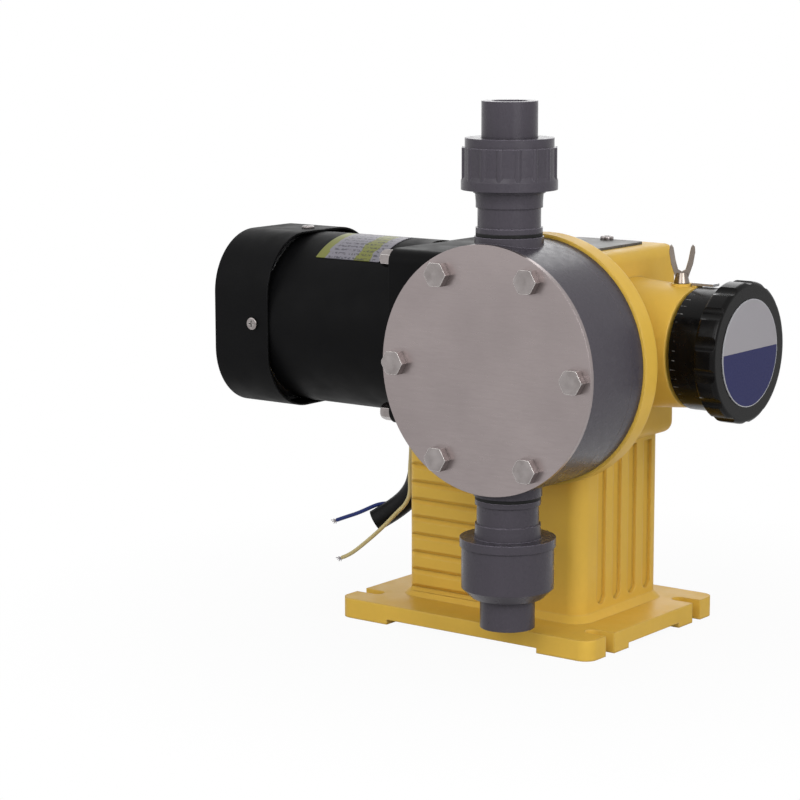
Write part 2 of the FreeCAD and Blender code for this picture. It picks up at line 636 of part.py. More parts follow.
def covers():
    top = box(TOP_COVER_X - TOP_COVER_LENGTH / 2, TOP_COVER_X + TOP_COVER_LENGTH / 2,
              TOP_COVER_Y - TOP_COVER_DEPTH / 2, TOP_COVER_Y + TOP_COVER_DEPTH / 2, BLOCK_TOP, BLOCK_TOP + TOP_COVER_THICKNESS)
    top = round_along(top, Z_AXIS, COVER_CORNER)
    outer = BLOCK_REAR + REAR_COVER_THICKNESS
    rear = box(REAR_COVER_X - REAR_COVER_LENGTH / 2, REAR_COVER_X + REAR_COVER_LENGTH / 2, BLOCK_REAR, outer,
               DRIVE_Z - REAR_COVER_HEIGHT / 2, DRIVE_Z + REAR_COVER_HEIGHT / 2)
    rear = round_along(rear, Y_AXIS, COVER_CORNER)
    hole = COVER_SCREW_RADIUS + SLIP
    top = take(top, [rod_z(hole, BLOCK_TOP - 1, BLOCK_TOP + TOP_COVER_THICKNESS + 1, x, y)
                     for x, y in top_screw_places()])
    glass_z = DRIVE_Z - GLASS_DROP
    fill_z = DRIVE_Z + REAR_COVER_HEIGHT / 2 - FILL_PLUG_INSET
    drain_z = DRIVE_Z - REAR_COVER_HEIGHT / 2 + DRAIN_PLUG_INSET
    rear = take(rear, [rod_y(hole, BLOCK_REAR - 1, outer + 1, x, z) for x, z in rear_screw_places()]
                + [rod_y(PLUG_RADIUS, BLOCK_REAR - 1, outer + 1, PLUG_X, z) for z in (fill_z, drain_z)]
                + [rod_y(GLASS_RADIUS, BLOCK_REAR - 1, outer + 1, GLASS_X, glass_z)])
    top_seat = BLOCK_TOP + TOP_COVER_THICKNESS
    top_screws = [screw(V(x, y, top_seat), Z_AXIS, COVER_SCREW_RADIUS, TOP_COVER_THICKNESS + COVER_SCREW_DEPTH,
                        COVER_SCREW_HEAD, COVER_SCREW_RISE) for x, y in top_screw_places()]
    rear_screws = [screw(V(x, outer, z), Y_AXIS, COVER_SCREW_RADIUS, REAR_COVER_THICKNESS + COVER_SCREW_DEPTH,
                         COVER_SCREW_HEAD, COVER_SCREW_RISE) for x, z in rear_screw_places()]
    glass = rod_y(GLASS_RADIUS, BLOCK_REAR, outer, GLASS_X, glass_z)
    bezel = rod_y(GLASS_BEZEL, outer, outer + GLASS_BEZEL_RISE, GLASS_X, glass_z)
    bezel = bezel.cut(rod_y(GLASS_RADIUS - 1, outer + GLASS_BEZEL_RISE / 2, outer + GLASS_BEZEL_RISE + 1, GLASS_X, glass_z))
    return {
        "top_cover": top, "rear_cover": rear, "cover_screws": Part.makeCompound(top_screws + rear_screws),
        "oil_fill_plug": oil_plug(fill_z), "oil_drain_plug": oil_plug(drain_z), "oil_sight_glass": glass.fuse(bezel),
    }


def head_boss(side):
    ends = sorted((HEAD_Z + side * (HEAD_RADIUS - HEAD_BOSS_ROOT), HEAD_Z + side * HEAD_BOSS_END))
    return rod_z(HEAD_BOSS_RADIUS, ends[0], ends[1])


def valve_pocket(side):
    ends = sorted((HEAD_Z + side * VALVE_INNER, HEAD_Z + side * (HEAD_BOSS_END + 1)))
    return rod_z(VALVE_STEM_RADIUS + RUNNING, ends[0], ends[1])


def head_pieces():
    body = join([rod_y(HEAD_RADIUS, PLATE_BACK, HEAD_BACK), head_boss(1), head_boss(-1)])
    cuts = [valve_pocket(1), valve_pocket(-1), rod_y(HEAD_RADIUS + SLIP, HEAD_BACK, FLANGE_FRONT),
            rod_z(PASSAGE_RADIUS, HEAD_Z - VALVE_INNER, HEAD_Z + VALVE_INNER),
            rod_y(DIAPHRAGM_RADIUS + RUNNING, HEAD_BACK - DIAPHRAGM_THICKNESS, HEAD_BACK + 1),
            rod_y(CHAMBER_RADIUS, HEAD_BACK - CHAMBER_DEPTH, HEAD_BACK)]
    for side in (-1, 1):
        cuts.append(rod_y(PORT_RADIUS, FITTING_Y, HEAD_BACK - CHAMBER_DEPTH + 1, HEAD_X, HEAD_Z + side * PORT_OFFSET))
    cuts += head_bolt_holes(BOLT_HOLE, PLATE_BACK - 1, HEAD_BACK + 1)
    plate = take(rod_y(HEAD_RADIUS, PLATE_FRONT, PLATE_BACK),
                 head_bolt_holes(BOLT_HOLE, PLATE_FRONT - 1, PLATE_BACK + 1))
    ring = take(rod_y(HEAD_RADIUS, HEAD_BACK, FLANGE_FRONT),
                [rod_y(RING_BORE, HEAD_BACK - 1, FLANGE_FRONT + 1)]
                + head_bolt_holes(BOLT_HOLE, HEAD_BACK - 1, FLANGE_FRONT + 1))
    bolts = []
    for place in bolt_places():
        shank = rod_y(BOLT_RADIUS, PLATE_FRONT - BOLT_HEAD / 2, FLANGE_FRONT + BOLT_THREAD, place.x, place.z)
        bolts.append(shank.fuse(hexagon(BOLT_FLATS, BOLT_HEAD, V(place.x, PLATE_FRONT, place.z), V(0, -1, 0))))
    return {"pump_head": take(body, cuts), "cover_plate": plate, "intermediate_ring": ring,
            "head_bolts": Part.makeCompound(bolts)}


def diaphragm_pieces():
    front = HEAD_BACK - DIAPHRAGM_THICKNESS
    membrane = rod_y(DIAPHRAGM_RADIUS, front, HEAD_BACK)
    groove = rod_y(RING_BORE - 6, front - 1, front + 1).cut(rod_y(DIAPHRAGM_HUB + 4, front - 1, front + 1))
    membrane = take(membrane, [groove, rod_y(STUD_RADIUS + RUNNING, HEAD_BACK - STUD_LENGTH, HEAD_BACK + 1)])
    disc = take(rod_y(DISC_RADIUS, HEAD_BACK, HEAD_BACK + DISC_THICKNESS),
                [rod_y(STUD_RADIUS, HEAD_BACK - 1, HEAD_BACK + DISC_THICKNESS + 1)])
    return {"diaphragm": membrane, "diaphragm_disc": disc}


def nose_centre_y():
    """The nose's centre stands square off the cone's side at the stop position for no stroke."""
    cone_radius = CONE_TIP_RADIUS + CONE_SLOPE * (NOSE_X - CONE_TIP_X)
    return DRIVE_Y - cone_radius - (NOSE_RADIUS + RUNNING) * math.sqrt(1 + CONE_SLOPE ** 2)


def push_rod():
    nose_y = nose_centre_y()
    low, high = HEAD_Z - ARM_MARGIN, KNOB_Z + ARM_MARGIN
    pieces = [rod_y(STUD_RADIUS, HEAD_BACK - STUD_LENGTH, HEAD_BACK + DISC_THICKNESS + 1),
              rod_y(ROD_RADIUS, HEAD_BACK + DISC_THICKNESS, TAPPET_FRONT + 1),
              rod_y(TAPPET_RADIUS, TAPPET_FRONT, TAPPET_BACK),
              box(HEAD_X, NOSE_X + NOSE_RADIUS, TAPPET_FRONT, TAPPET_BACK, low, high),
              box(NOSE_X - NOSE_RADIUS, NOSE_X + NOSE_RADIUS, TAPPET_BACK - 1, nose_y, low, high),
              rod_z(NOSE_RADIUS, low, high, NOSE_X, nose_y)]
    return join(pieces)


def return_spring():
    length = TAPPET_FRONT - BUSH_BACK - SPRING_WIRE
    helix = Part.makeHelix(length / SPRING_TURNS, length, SPRING_MEAN)
    profile = Part.Wire(Part.makeCircle(SPRING_WIRE / 2 - RUNNING, V(SPRING_MEAN, 0, 0), Y_AXIS))
    coil = Part.Wire(helix.Edges).makePipeShell([profile], True, True)
    coil.Placement = FreeCAD.Placement(V(HEAD_X, BUSH_BACK + SPRING_WIRE / 2, HEAD_Z),
                                       FreeCAD.Rotation(Z_AXIS, Y_AXIS))
    return coil


def rod_pieces():
    bush = rod_y(BUSH_RADIUS, BUSH_FRONT, BUSH_BACK).cut(rod_y(ROD_RADIUS + RUNNING, BUSH_FRONT, BUSH_BACK))
    return {"push_rod": push_rod(), "rod_bush": bush, "return_spring": return_spring()}


def ring_bearing(outer, inner, x0, width):
    """A ball bearing as one ring, with the shallow channel of its shields on both faces."""
    mid = (outer + inner) / 2
    band = (outer - inner) / 5
    grooves = [tube_x(mid + band, mid - band, x0 - 1, x0 + 0.6),
               tube_x(mid + band, mid - band, x0 + width - 0.6, x0 + width + 1)]
    return take(tube_x(outer, inner, x0, x0 + width), grooves)


def involute(angle):
    return math.tan(angle) - angle


def gear(teeth, x0, y, z, first_tooth, bore):
    """Involute spur gear about +X; first_tooth is the angle of one tooth's middle, from +Y towards +Z."""
    pitch = GEAR_MODULE * teeth / 2
    base = pitch * math.cos(math.radians(PRESSURE_ANGLE))
    tip = pitch + ADDENDUM * GEAR_MODULE
    root = pitch - DEDENDUM * GEAR_MODULE
    half = math.pi / (2 * teeth) - BACKLASH / (2 * pitch) + involute(math.radians(PRESSURE_ANGLE))
    radii = [max(base, root), pitch, tip]
    flank = [(root, half)] + [(r, half - involute(math.acos(min(1, base / r)))) for r in radii]
    points = []
    for i in range(teeth):
        middle = first_tooth + 2 * math.pi * i / teeth
        for r, offset in [(r, -a) for r, a in flank] + [(r, a) for r, a in reversed(flank)]:
            points.append(V(x0, y + r * math.cos(middle + offset), z + r * math.sin(middle + offset)))
    points = [p for i, p in enumerate(points) if p.distanceToPoint(points[i - 1]) > 0.001]
    blank = Part.Face(Part.makePolygon(points + points[:1])).extrude(V(GEAR_WIDTH, 0, 0))
    if bore:
        blank = blank.cut(rod_x(bore, x0 - 1, x0 + GEAR_WIDTH + 1, y, z))
    return blank


def layshaft_rod(radius, slack):
    return rod_x(radius, GEARHEAD_INSIDE - LAYSHAFT_SEAT + slack, COVER_REAR + LAYSHAFT_SEAT - slack, DRIVE_Y, LAYSHAFT_Z)


def drive_train():
    up, down = math.pi / 2, -math.pi / 2
    output_x = SECOND_STAGE_X
    cam_x = HEAD_X - ECCENTRIC_WIDTH / 2
    shaft = rod_x(SHAFT_RADIUS, output_x, cam_x + 1)
    cam = rod_x(ECCENTRIC_RADIUS, cam_x, cam_x + ECCENTRIC_WIDTH, DRIVE_Y, DRIVE_Z + ECCENTRICITY)
    bearing = rod_x(CAM_BEARING_RADIUS, cam_x, cam_x + ECCENTRIC_WIDTH, DRIVE_Y, DRIVE_Z + ECCENTRICITY)
    bearing = bearing.cut(cam)
    layshaft = join([layshaft_rod(LAYSHAFT_RADIUS, SLIP),
                     gear(WHEEL_TEETH, FIRST_STAGE_X, DRIVE_Y, LAYSHAFT_Z, up + math.pi / WHEEL_TEETH, 0),
                     gear(PINION_TEETH, SECOND_STAGE_X, DRIVE_Y, LAYSHAFT_Z, up, 0)])
    motor_shaft = join([rod_x(MOTOR_SHAFT_RADIUS, FAN_X, FIRST_STAGE_X + 1),
                        gear(PINION_TEETH, FIRST_STAGE_X, DRIVE_Y, DRIVE_Z, down, 0)])
    bearings = [ring_bearing(SHAFT_BEARING_RADIUS, SHAFT_RADIUS + RUNNING, end - SHAFT_BEARING_WIDTH,
                             SHAFT_BEARING_WIDTH) for end in (BLOCK_LEFT, CAM_WEB_END)]
    return {
        "eccentric_shaft": shaft.fuse(cam), "eccentric_bearing": bearing,
        "output_gear": gear(WHEEL_TEETH, output_x, DRIVE_Y, DRIVE_Z, down + math.pi / WHEEL_TEETH, SHAFT_RADIUS),
        "layshaft_gears": layshaft, "motor_shaft": motor_shaft,
        "shaft_bearings": Part.makeCompound(bearings),
    }


def square_about(size, corner, x0, x1):
    block = box(x0, x1, DRIVE_Y - size / 2, DRIVE_Y + size / 2, DRIVE_Z - size / 2, DRIVE_Z + size / 2)
    return round_along(block, X_AXIS, corner)


def gearhead_pieces():
    cuts = [rod_x(GEARHEAD_BORE, GEARHEAD_INSIDE, COVER_REAR),
            rod_x(MOTOR_BEARING_RADIUS, GEARHEAD_REAR - 1, GEARHEAD_INSIDE),
            rod_x(SHAFT_BEARING_RADIUS, BLOCK_LEFT - SHAFT_BEARING_WIDTH, BLOCK_LEFT + 1),
            rod_x(SHAFT_RADIUS + 1, COVER_REAR - 1, BLOCK_LEFT),
            layshaft_rod(LAYSHAFT_RADIUS + RUNNING, 0)]
    bolts = []
    for y, z in gearhead_bolt_places():
        cuts.append(rod_x(GEARHEAD_BOLT_RADIUS + SLIP, GEARHEAD_REAR - 1, BLOCK_LEFT + 1, y, z))
        shank = rod_x(GEARHEAD_BOLT_RADIUS, GEARHEAD_REAR - 1, BLOCK_LEFT + GEARHEAD_BOLT_DEPTH, y, z)
        bolts.append(shank.fuse(hexagon(GEARHEAD_BOLT_FLATS, GEARHEAD_BOLT_HEAD, V(GEARHEAD_REAR, y, z), V(-1, 0, 0))))
    bearings = [ring_bearing(MOTOR_BEARING_RADIUS, MOTOR_SHAFT_RADIUS + RUNNING, start, MOTOR_BEARING_WIDTH)
                for start in (GEARHEAD_REAR, BARREL_BACK - MOTOR_BEARING_WIDTH)]
    return {"gearhead_case": take(square_about(GEARHEAD_SIZE, GEARHEAD_CORNER, GEARHEAD_REAR, COVER_REAR), cuts),
            "gearhead_cover": take(square_about(GEARHEAD_SIZE, GEARHEAD_CORNER, COVER_REAR, BLOCK_LEFT), cuts),
            "gearhead_bolts": Part.makeCompound(bolts), "motor_bearings": Part.makeCompound(bearings)}


def nameplate():
    outer = BARREL_RADIUS + NAMEPLATE_THICKNESS
    x1 = GEARHEAD_REAR - NAMEPLATE_START
    x0 = x1 - NAMEPLATE_LENGTH
    band = tube_x(outer, BARREL_RADIUS, x0, x1)
    low, high = math.radians(NAMEPLATE_EDGE), math.radians(NAMEPLATE_EDGE + NAMEPLATE_SPAN)
    reach = 2 * outer
    corners = [V(x0 - 1, DRIVE_Y, DRIVE_Z),
               V(x0 - 1, DRIVE_Y - reach * math.sin(low), DRIVE_Z + reach * math.cos(low)),
               V(x0 - 1, DRIVE_Y - reach * math.sin(high), DRIVE_Z + reach * math.cos(high))]
    wedge = Part.Face(Part.makePolygon(corners + corners[:1])).extrude(V(NAMEPLATE_LENGTH + 2, 0, 0))
    return band.common(wedge)


def cooling_fan():
    hub = rod_x(FAN_HUB, FAN_X, FAN_X + FAN_WIDTH)
    disc = rod_x(FAN_RADIUS, FAN_X + FAN_WIDTH - FAN_BLADE_THICKNESS, FAN_X + FAN_WIDTH)
    blade = box(FAN_X, FAN_X + FAN_WIDTH, DRIVE_Y - FAN_BLADE_THICKNESS / 2, DRIVE_Y + FAN_BLADE_THICKNESS / 2,
                DRIVE_Z + FAN_HUB - 1, DRIVE_Z + FAN_RADIUS)
    blades = copies_about(blade, V(0, DRIVE_Y, DRIVE_Z), X_AXIS, FAN_BLADES)
    return join([hub, disc] + blades).cut(rod_x(MOTOR_SHAFT_RADIUS, FAN_X - 1, FAN_X + FAN_WIDTH + 1))


def cowl_screw_places():
    reach = COWL_SIZE / 2
    return [(V(SHIELD_MIDDLE, DRIVE_Y + d.y * reach, DRIVE_Z + d.z * reach), d)
            for d in (V(0, -1, 0), V(0, 1, 0), V(0, 0, 1), V(0, 0, -1))]


def fan_cowl():
    shell = square_about(COWL_SIZE, COWL_CORNER, COWL_BACK, COWL_FRONT)
    inside = square_about(COWL_SIZE - 2 * COWL_WALL, COWL_CORNER - COWL_WALL, COWL_BACK + COWL_WALL, COWL_FRONT + 1)
    vent = box(COWL_BACK - 1, COWL_BACK + COWL_WALL + 1, DRIVE_Y - VENT_WIDTH / 2, DRIVE_Y + VENT_WIDTH / 2,
               DRIVE_Z + VENT_INNER, DRIVE_Z + VENT_OUTER)
    vents = copies_about(vent, V(0, DRIVE_Y, DRIVE_Z), X_AXIS, VENT_COUNT)
    holes = [Part.makeCylinder(COWL_SCREW_RADIUS + SLIP, 2 * COWL_WALL + 2, p - d * (2 * COWL_WALL), d)
             for p, d in cowl_screw_places()]
    return take(shell, [inside] + vents + holes)


def motor_pieces():
    barrel = tube_x(BARREL_RADIUS, BARREL_RADIUS - BARREL_WALL, BARREL_BACK, GEARHEAD_REAR)
    stator_x1 = GEARHEAD_REAR - STATOR_OFFSET
    stator_x0 = stator_x1 - STATOR_LENGTH
    core = tube_x(BARREL_RADIUS - BARREL_WALL, STATOR_BORE, stator_x0, stator_x1)
    winding = Part.makeCompound([tube_x(WINDING_OUTER, WINDING_INNER, stator_x0 - WINDING_LENGTH, stator_x0),
                                 tube_x(WINDING_OUTER, WINDING_INNER, stator_x1, stator_x1 + WINDING_LENGTH)])
    rotor = tube_x(STATOR_BORE - AIR_GAP, MOTOR_SHAFT_RADIUS, stator_x0, stator_x1)
    shield = rod_x(BARREL_RADIUS, SHIELD_BACK, BARREL_BACK)
    inner = COWL_SIZE / 2 - COWL_WALL
    lugs = []
    for place, d in cowl_screw_places():
        lug = Part.makeCylinder(COWL_SCREW_HEAD, inner - BARREL_RADIUS + COWL_SCREW_HEAD, V(SHIELD_MIDDLE, DRIVE_Y, DRIVE_Z)
                                + d * (BARREL_RADIUS - COWL_SCREW_HEAD), d)
        lugs.append(lug)
    shield = join([shield] + lugs)
    holes = [Part.makeCylinder(COWL_SCREW_RADIUS + RUNNING, 3 * COWL_SCREW_HEAD, p - d * 3 * COWL_SCREW_HEAD, d)
             for p, d in cowl_screw_places()]
    seat = rod_x(MOTOR_BEARING_RADIUS, BARREL_BACK - MOTOR_BEARING_WIDTH, BARREL_BACK + 1)
    shield = take(shield, holes + [seat, rod_x(MOTOR_SHAFT_RADIUS + 1, SHIELD_BACK - 1, BARREL_BACK)])
    screws = [screw(p, d, COWL_SCREW_RADIUS, 2 * COWL_SCREW_HEAD, COWL_SCREW_HEAD, COWL_SCREW_RISE)
              for p, d in cowl_screw_places()]
    return {"motor_barrel": barrel, "stator_core": core, "stator_winding": winding, "rotor_core": rotor,
            "motor_end_shield": shield, "motor_nameplate": nameplate(), "cooling_fan": cooling_fan(),
            "fan_cowl": fan_cowl(), "cowl_screws": Part.makeCompound(screws)}


def stop_cone():
    big = CONE_TIP_RADIUS + CONE_SLOPE * CONE_LENGTH
    cone = Part.makeCone(CONE_TIP_RADIUS, big, CONE_LENGTH, V(CONE_TIP_X, DRIVE_Y, KNOB_Z), X_AXIS)
    bore = knob_rod(THREAD_RADIUS + RUNNING, CONE_TIP_X - 1, CONE_TIP_X + CONE_LENGTH + 1)
    keyway = box(KEY_X - CONE_TRAVEL - KEY_RADIUS - SLIP, CONE_TIP_X + CONE_LENGTH + 1,
                 DRIVE_Y - KEY_RADIUS - RUNNING, DRIVE_Y + KEY_RADIUS + RUNNING,
                 KNOB_Z - big - 1, KNOB_Z - KEY_REACH + SLIP)
    return take(cone, [bore, keyway])


def wing_screw():
    """Stands on its boss with a small gap to the spindle below, which is the loosened state."""
    seat = KNOB_Z + WING_BOSS_TOP
    shank = rod_z(WING_SCREW_RADIUS, KNOB_Z + SPINDLE_RADIUS + TOUCH_GAP, seat + 1, WING_X, DRIVE_Y)
    hub = Part.makeCone(WING_HUB_RADIUS, WING_HUB_RADIUS - 1.4, WING_HUB_HEIGHT, V(WING_X, DRIVE_Y, seat + SLIP), Z_AXIS)
    profile = [(0, 0.04), (0.45, 0.1), (0.85, 0.5), (1.0, 0.8), (0.97, 0.95), (0.82, 1.0), (0.68, 0.93),
               (0.5, 0.6), (0.3, 0.36), (0, 0.3)]
    wings = []
    for side in (-1, 1):
        points = [V(side * WING_SPREAD * u, 0, WING_RISE * v) for u, v in profile]
        wing = Part.Face(Part.makePolygon(points + points[:1])).extrude(V(0, WING_THICKNESS, 0))
        wing.translate(V(WING_X, DRIVE_Y - WING_THICKNESS / 2, seat + SLIP))
        wings.append(wing)
    turned = join([shank, hub] + wings)
    turned.rotate(V(WING_X, DRIVE_Y, 0), Z_AXIS, WING_TURN)
    return turned


def stroke_knob():
    collar = knob_rod(COLLAR_RADIUS, KNOB_X, GRIP_X + 1)
    grip = knob_rod(GRIP_RADIUS, GRIP_X, KNOB_END)
    rims = [e for e in grip.Edges if e.Closed]
    grip = grip.makeFillet(GRIP_EDGE, rims)
    scallop = rod_x(SCALLOP_RADIUS, GRIP_X - 1, KNOB_END + 1, DRIVE_Y, KNOB_Z + GRIP_RADIUS + SCALLOP_RADIUS - SCALLOP_DEPTH)
    scallops = copies_about(scallop, V(0, DRIVE_Y, KNOB_Z), X_AXIS, LOBE_COUNT)
    knob = take(grip, scallops).fuse(collar)
    inside = knob_rod(COLLAR_RADIUS - KNOB_WALL, KNOB_X - 1, KNOB_END - GRIP_WEB)
    hub = knob_rod(HUB_RADIUS, KNOB_X, KNOB_END - GRIP_WEB)
    spindle_hole = knob_rod(SPINDLE_RADIUS, KNOB_X - 1, KNOB_END - GRIP_WEB)
    pin_hole = rod_y(KNOB_PIN_RADIUS, DRIVE_Y - HUB_RADIUS - 1, DRIVE_Y + HUB_RADIUS + 1, KNOB_X + KNOB_PIN_X, KNOB_Z)
    return take(knob, [inside.cut(hub), spindle_hole, pin_hole])


def adjuster_pieces():
    spindle = join([knob_rod(THREAD_RADIUS, CONE_TIP_X + SLIP, BUSH_X),
                    knob_rod(SPINDLE_COLLAR, BUSH_X - SPINDLE_COLLAR_WIDTH - SLIP, BUSH_X - SLIP),
                    knob_rod(SPINDLE_RADIUS, BUSH_X - SLIP, KNOB_END - GRIP_WEB)])
    pin = rod_y(KNOB_PIN_RADIUS, DRIVE_Y - HUB_RADIUS, DRIVE_Y + HUB_RADIUS, KNOB_X + KNOB_PIN_X, KNOB_Z)
    bush = knob_rod(BUSH_RADIUS, BUSH_X, BOSS_END)
    bush = take(bush, [knob_rod(SPINDLE_RADIUS + RUNNING, BUSH_X - 1, BOSS_END + 1),
                       rod_z(WING_SCREW_RADIUS + SLIP, KNOB_Z, KNOB_Z + BUSH_RADIUS + 1, WING_X, DRIVE_Y)])
    key = rod_z(KEY_RADIUS, KNOB_Z - BOSS_CAVITY - BLOCK_WALL, KNOB_Z - KEY_REACH, KEY_X, DRIVE_Y)
    label = knob_rod(LABEL_RADIUS, KNOB_END, KNOB_END + LABEL_THICKNESS)
    seat = KNOB_Z + POINTER_SEAT
    pointer = box(POINTER_X, POINTER_X + POINTER_LENGTH, pointer_middle() - POINTER_WIDTH / 2,
                  pointer_middle() + POINTER_WIDTH / 2, seat, seat + POINTER_THICKNESS)
    return {"stroke_spindle": spindle.cut(pin), "knob_pin": pin, "spindle_bush": bush, "cone_guide_pin": key,
            "stop_cone": stop_cone(), "wing_screw": wing_screw(), "stroke_knob": stroke_knob(),
            "knob_label": label, "index_pointer": pointer}


def stack_rod(side, radius, start, end):
    ends = sorted((HEAD_Z + side * start, HEAD_Z + side * end))
    return rod_z(radius, ends[0], ends[1])


def stack_cone(side, radius_in, radius_out, start, end):
    return Part.makeCone(radius_in, radius_out, end - start, V(HEAD_X, FITTING_Y, HEAD_Z + side * start), Z_AXIS * side)


def valve_body(side):
    pieces = [stack_rod(side, VALVE_STEM_RADIUS, VALVE_INNER, HEAD_BOSS_END + ORING_THICKNESS),
              stack_rod(side, VALVE_COLLAR_RADIUS, HEAD_BOSS_END + ORING_THICKNESS, COLLAR_END),
              stack_cone(side, VALVE_COLLAR_RADIUS, UNION_THREAD_RADIUS - 1, COLLAR_END, UNION_START),
              stack_rod(side, UNION_THREAD_RADIUS, UNION_START, UNION_FACE)]
    band_start = HEAD_BOSS_END + ORING_THICKNESS + COLLAR_RIM
    band_end = COLLAR_END - COLLAR_RIM
    band = stack_rod(side, VALVE_COLLAR_RADIUS + 1, band_start, band_end)
    band = band.cut(stack_rod(side, VALVE_COLLAR_RADIUS - COLLAR_RECESS, band_start, band_end))
    bore = stack_rod(side, VALVE_BORE, VALVE_INNER - 1, UNION_FACE + 1)
    return take(join(pieces), [band, bore])


def union_tail(side, end):
    pieces = [stack_rod(side, TAIL_FLANGE_RADIUS, UNION_FACE, UNION_FACE + TAIL_FLANGE),
              stack_rod(side, TAIL_RADIUS, UNION_FACE, end)]
    return take(join(pieces), [stack_rod(side, TAIL_BORE, UNION_FACE - 1, end + 1),
                               stack_rod(side, SOCKET_RADIUS, end - SOCKET_DEPTH, end + 1)])


def nut_bore(side, end):
    return [stack_rod(side, UNION_THREAD_RADIUS + RUNNING, UNION_START - 1, UNION_FACE + TAIL_FLANGE + RUNNING),
            stack_rod(side, TAIL_RADIUS + TOUCH_GAP, UNION_FACE, end + 1)]


def discharge_nut():
    skirt_end = DISCHARGE_NUT_START + NUT_SKIRT
    body = join([stack_rod(1, NUT_SKIRT_RADIUS, DISCHARGE_NUT_START, skirt_end),
                 stack_cone(1, NUT_SKIRT_RADIUS, NUT_RADIUS, skirt_end, skirt_end + NUT_SKIRT / 2),
                 stack_rod(1, NUT_RADIUS, DISCHARGE_NUT_START, NUT_BODY_END),
                 stack_rod(1, NUT_COLLAR_RADIUS, NUT_BODY_END, NUT_COLLAR_END)])
    rib = rod_z(NUT_RIB_RADIUS, HEAD_Z + skirt_end, HEAD_Z + NUT_BODY_END, HEAD_X + NUT_RADIUS - NUT_RIB_SINK)
    ribs = copies_about(rib, V(HEAD_X, FITTING_Y, 0), Z_AXIS, NUT_RIB_COUNT)
    return take(join([body] + ribs), nut_bore(1, NUT_COLLAR_END))


def suction_nut():
    body = join([stack_rod(-1, SUCTION_NUT_RADIUS + 1, UNION_START, UNION_START + NUT_SKIRT),
                 stack_rod(-1, SUCTION_NUT_RADIUS, UNION_START, SUCTION_BODY_END),
                 stack_cone(-1, SUCTION_NUT_RADIUS, SUCTION_END_RADIUS, SUCTION_BODY_END, SUCTION_TAPER_END)])
    return take(body, nut_bore(-1, SUCTION_TAPER_END))


def valve_insides(seat_z):
    """Seat, ball and cage; the ball rests on the seat's upper edge in both valves."""
    edge = HEAD_Z + seat_z
    seat = rod_z(VALVE_BORE, edge - SEAT_THICKNESS, edge).cut(rod_z(SEAT_HOLE, edge - SEAT_THICKNESS, edge))
    centre = edge + math.sqrt(BALL_RADIUS ** 2 - SEAT_HOLE ** 2) + BALL_GAP
    ball = Part.makeSphere(BALL_RADIUS, V(HEAD_X, FITTING_Y, centre))
    stop = centre + BALL_RADIUS + BALL_LIFT + TOUCH_GAP
    guide = BALL_RADIUS + TOUCH_GAP
    cage = rod_z(VALVE_BORE, edge, stop + CAGE_BAR).cut(rod_z(VALVE_BORE - CAGE_WALL, edge, stop + CAGE_BAR))
    rib = box(HEAD_X + guide, HEAD_X + VALVE_BORE - CAGE_WALL / 2, FITTING_Y - CAGE_RIB / 2, FITTING_Y + CAGE_RIB / 2,
              edge, stop + CAGE_BAR)
    bar = box(HEAD_X - VALVE_BORE + CAGE_WALL / 2, HEAD_X + VALVE_BORE - CAGE_WALL / 2,
              FITTING_Y - CAGE_RIB / 2, FITTING_Y + CAGE_RIB / 2, stop, stop + CAGE_BAR)
    ribs = copies_about(rib, V(HEAD_X, FITTING_Y, 0), Z_AXIS, 4) + copies_about(bar, V(HEAD_X, FITTING_Y, 0), Z_AXIS, 4)
    return seat, ball, join([cage] + ribs)


def valve_pieces():
    nodes = {}
    orings, seats = [], []
    nuts = {"discharge": discharge_nut, "suction": suction_nut}
    for name, side, seat_z, tail_end in (("discharge", 1, DISCHARGE_SEAT_Z, DISCHARGE_TAIL_END),
                                         ("suction", -1, SUCTION_SEAT_Z, SUCTION_TAIL_END)):
        seat, ball, cage = valve_insides(seat_z)
        oring = stack_rod(side, ORING_RADIUS, HEAD_BOSS_END, HEAD_BOSS_END + ORING_THICKNESS)
        oring = oring.cut(stack_rod(side, VALVE_STEM_RADIUS, HEAD_BOSS_END, HEAD_BOSS_END + ORING_THICKNESS))
        nodes[name + "_valve_body"] = valve_body(side)
        orings.append(oring)
        seats.append(seat)
        nodes[name + "_ball"] = ball
        nodes[name + "_cage"] = cage
        nodes[name + "_union_nut"] = nuts[name]()
        nodes[name + "_union_tail"] = union_tail(side, tail_end)
    nodes["valve_orings"] = Part.makeCompound(orings)
    nodes["valve_seats"] = Part.makeCompound(seats)
    return nodes


def lead(points, radius):
    """A cord along a smooth curve that is straight where three points in a row are in line."""
    curve = Part.BSplineCurve()
    curve.buildFromPoles([V(*p) for p in points], False, 2)
    path = Part.Wire(curve.toShape())
    start = curve.value(curve.FirstParameter)
    profile = Part.Wire(Part.makeCircle(radius, start, curve.tangent(curve.FirstParameter)[0]))
    return path.makePipeShell([profile], True, False)


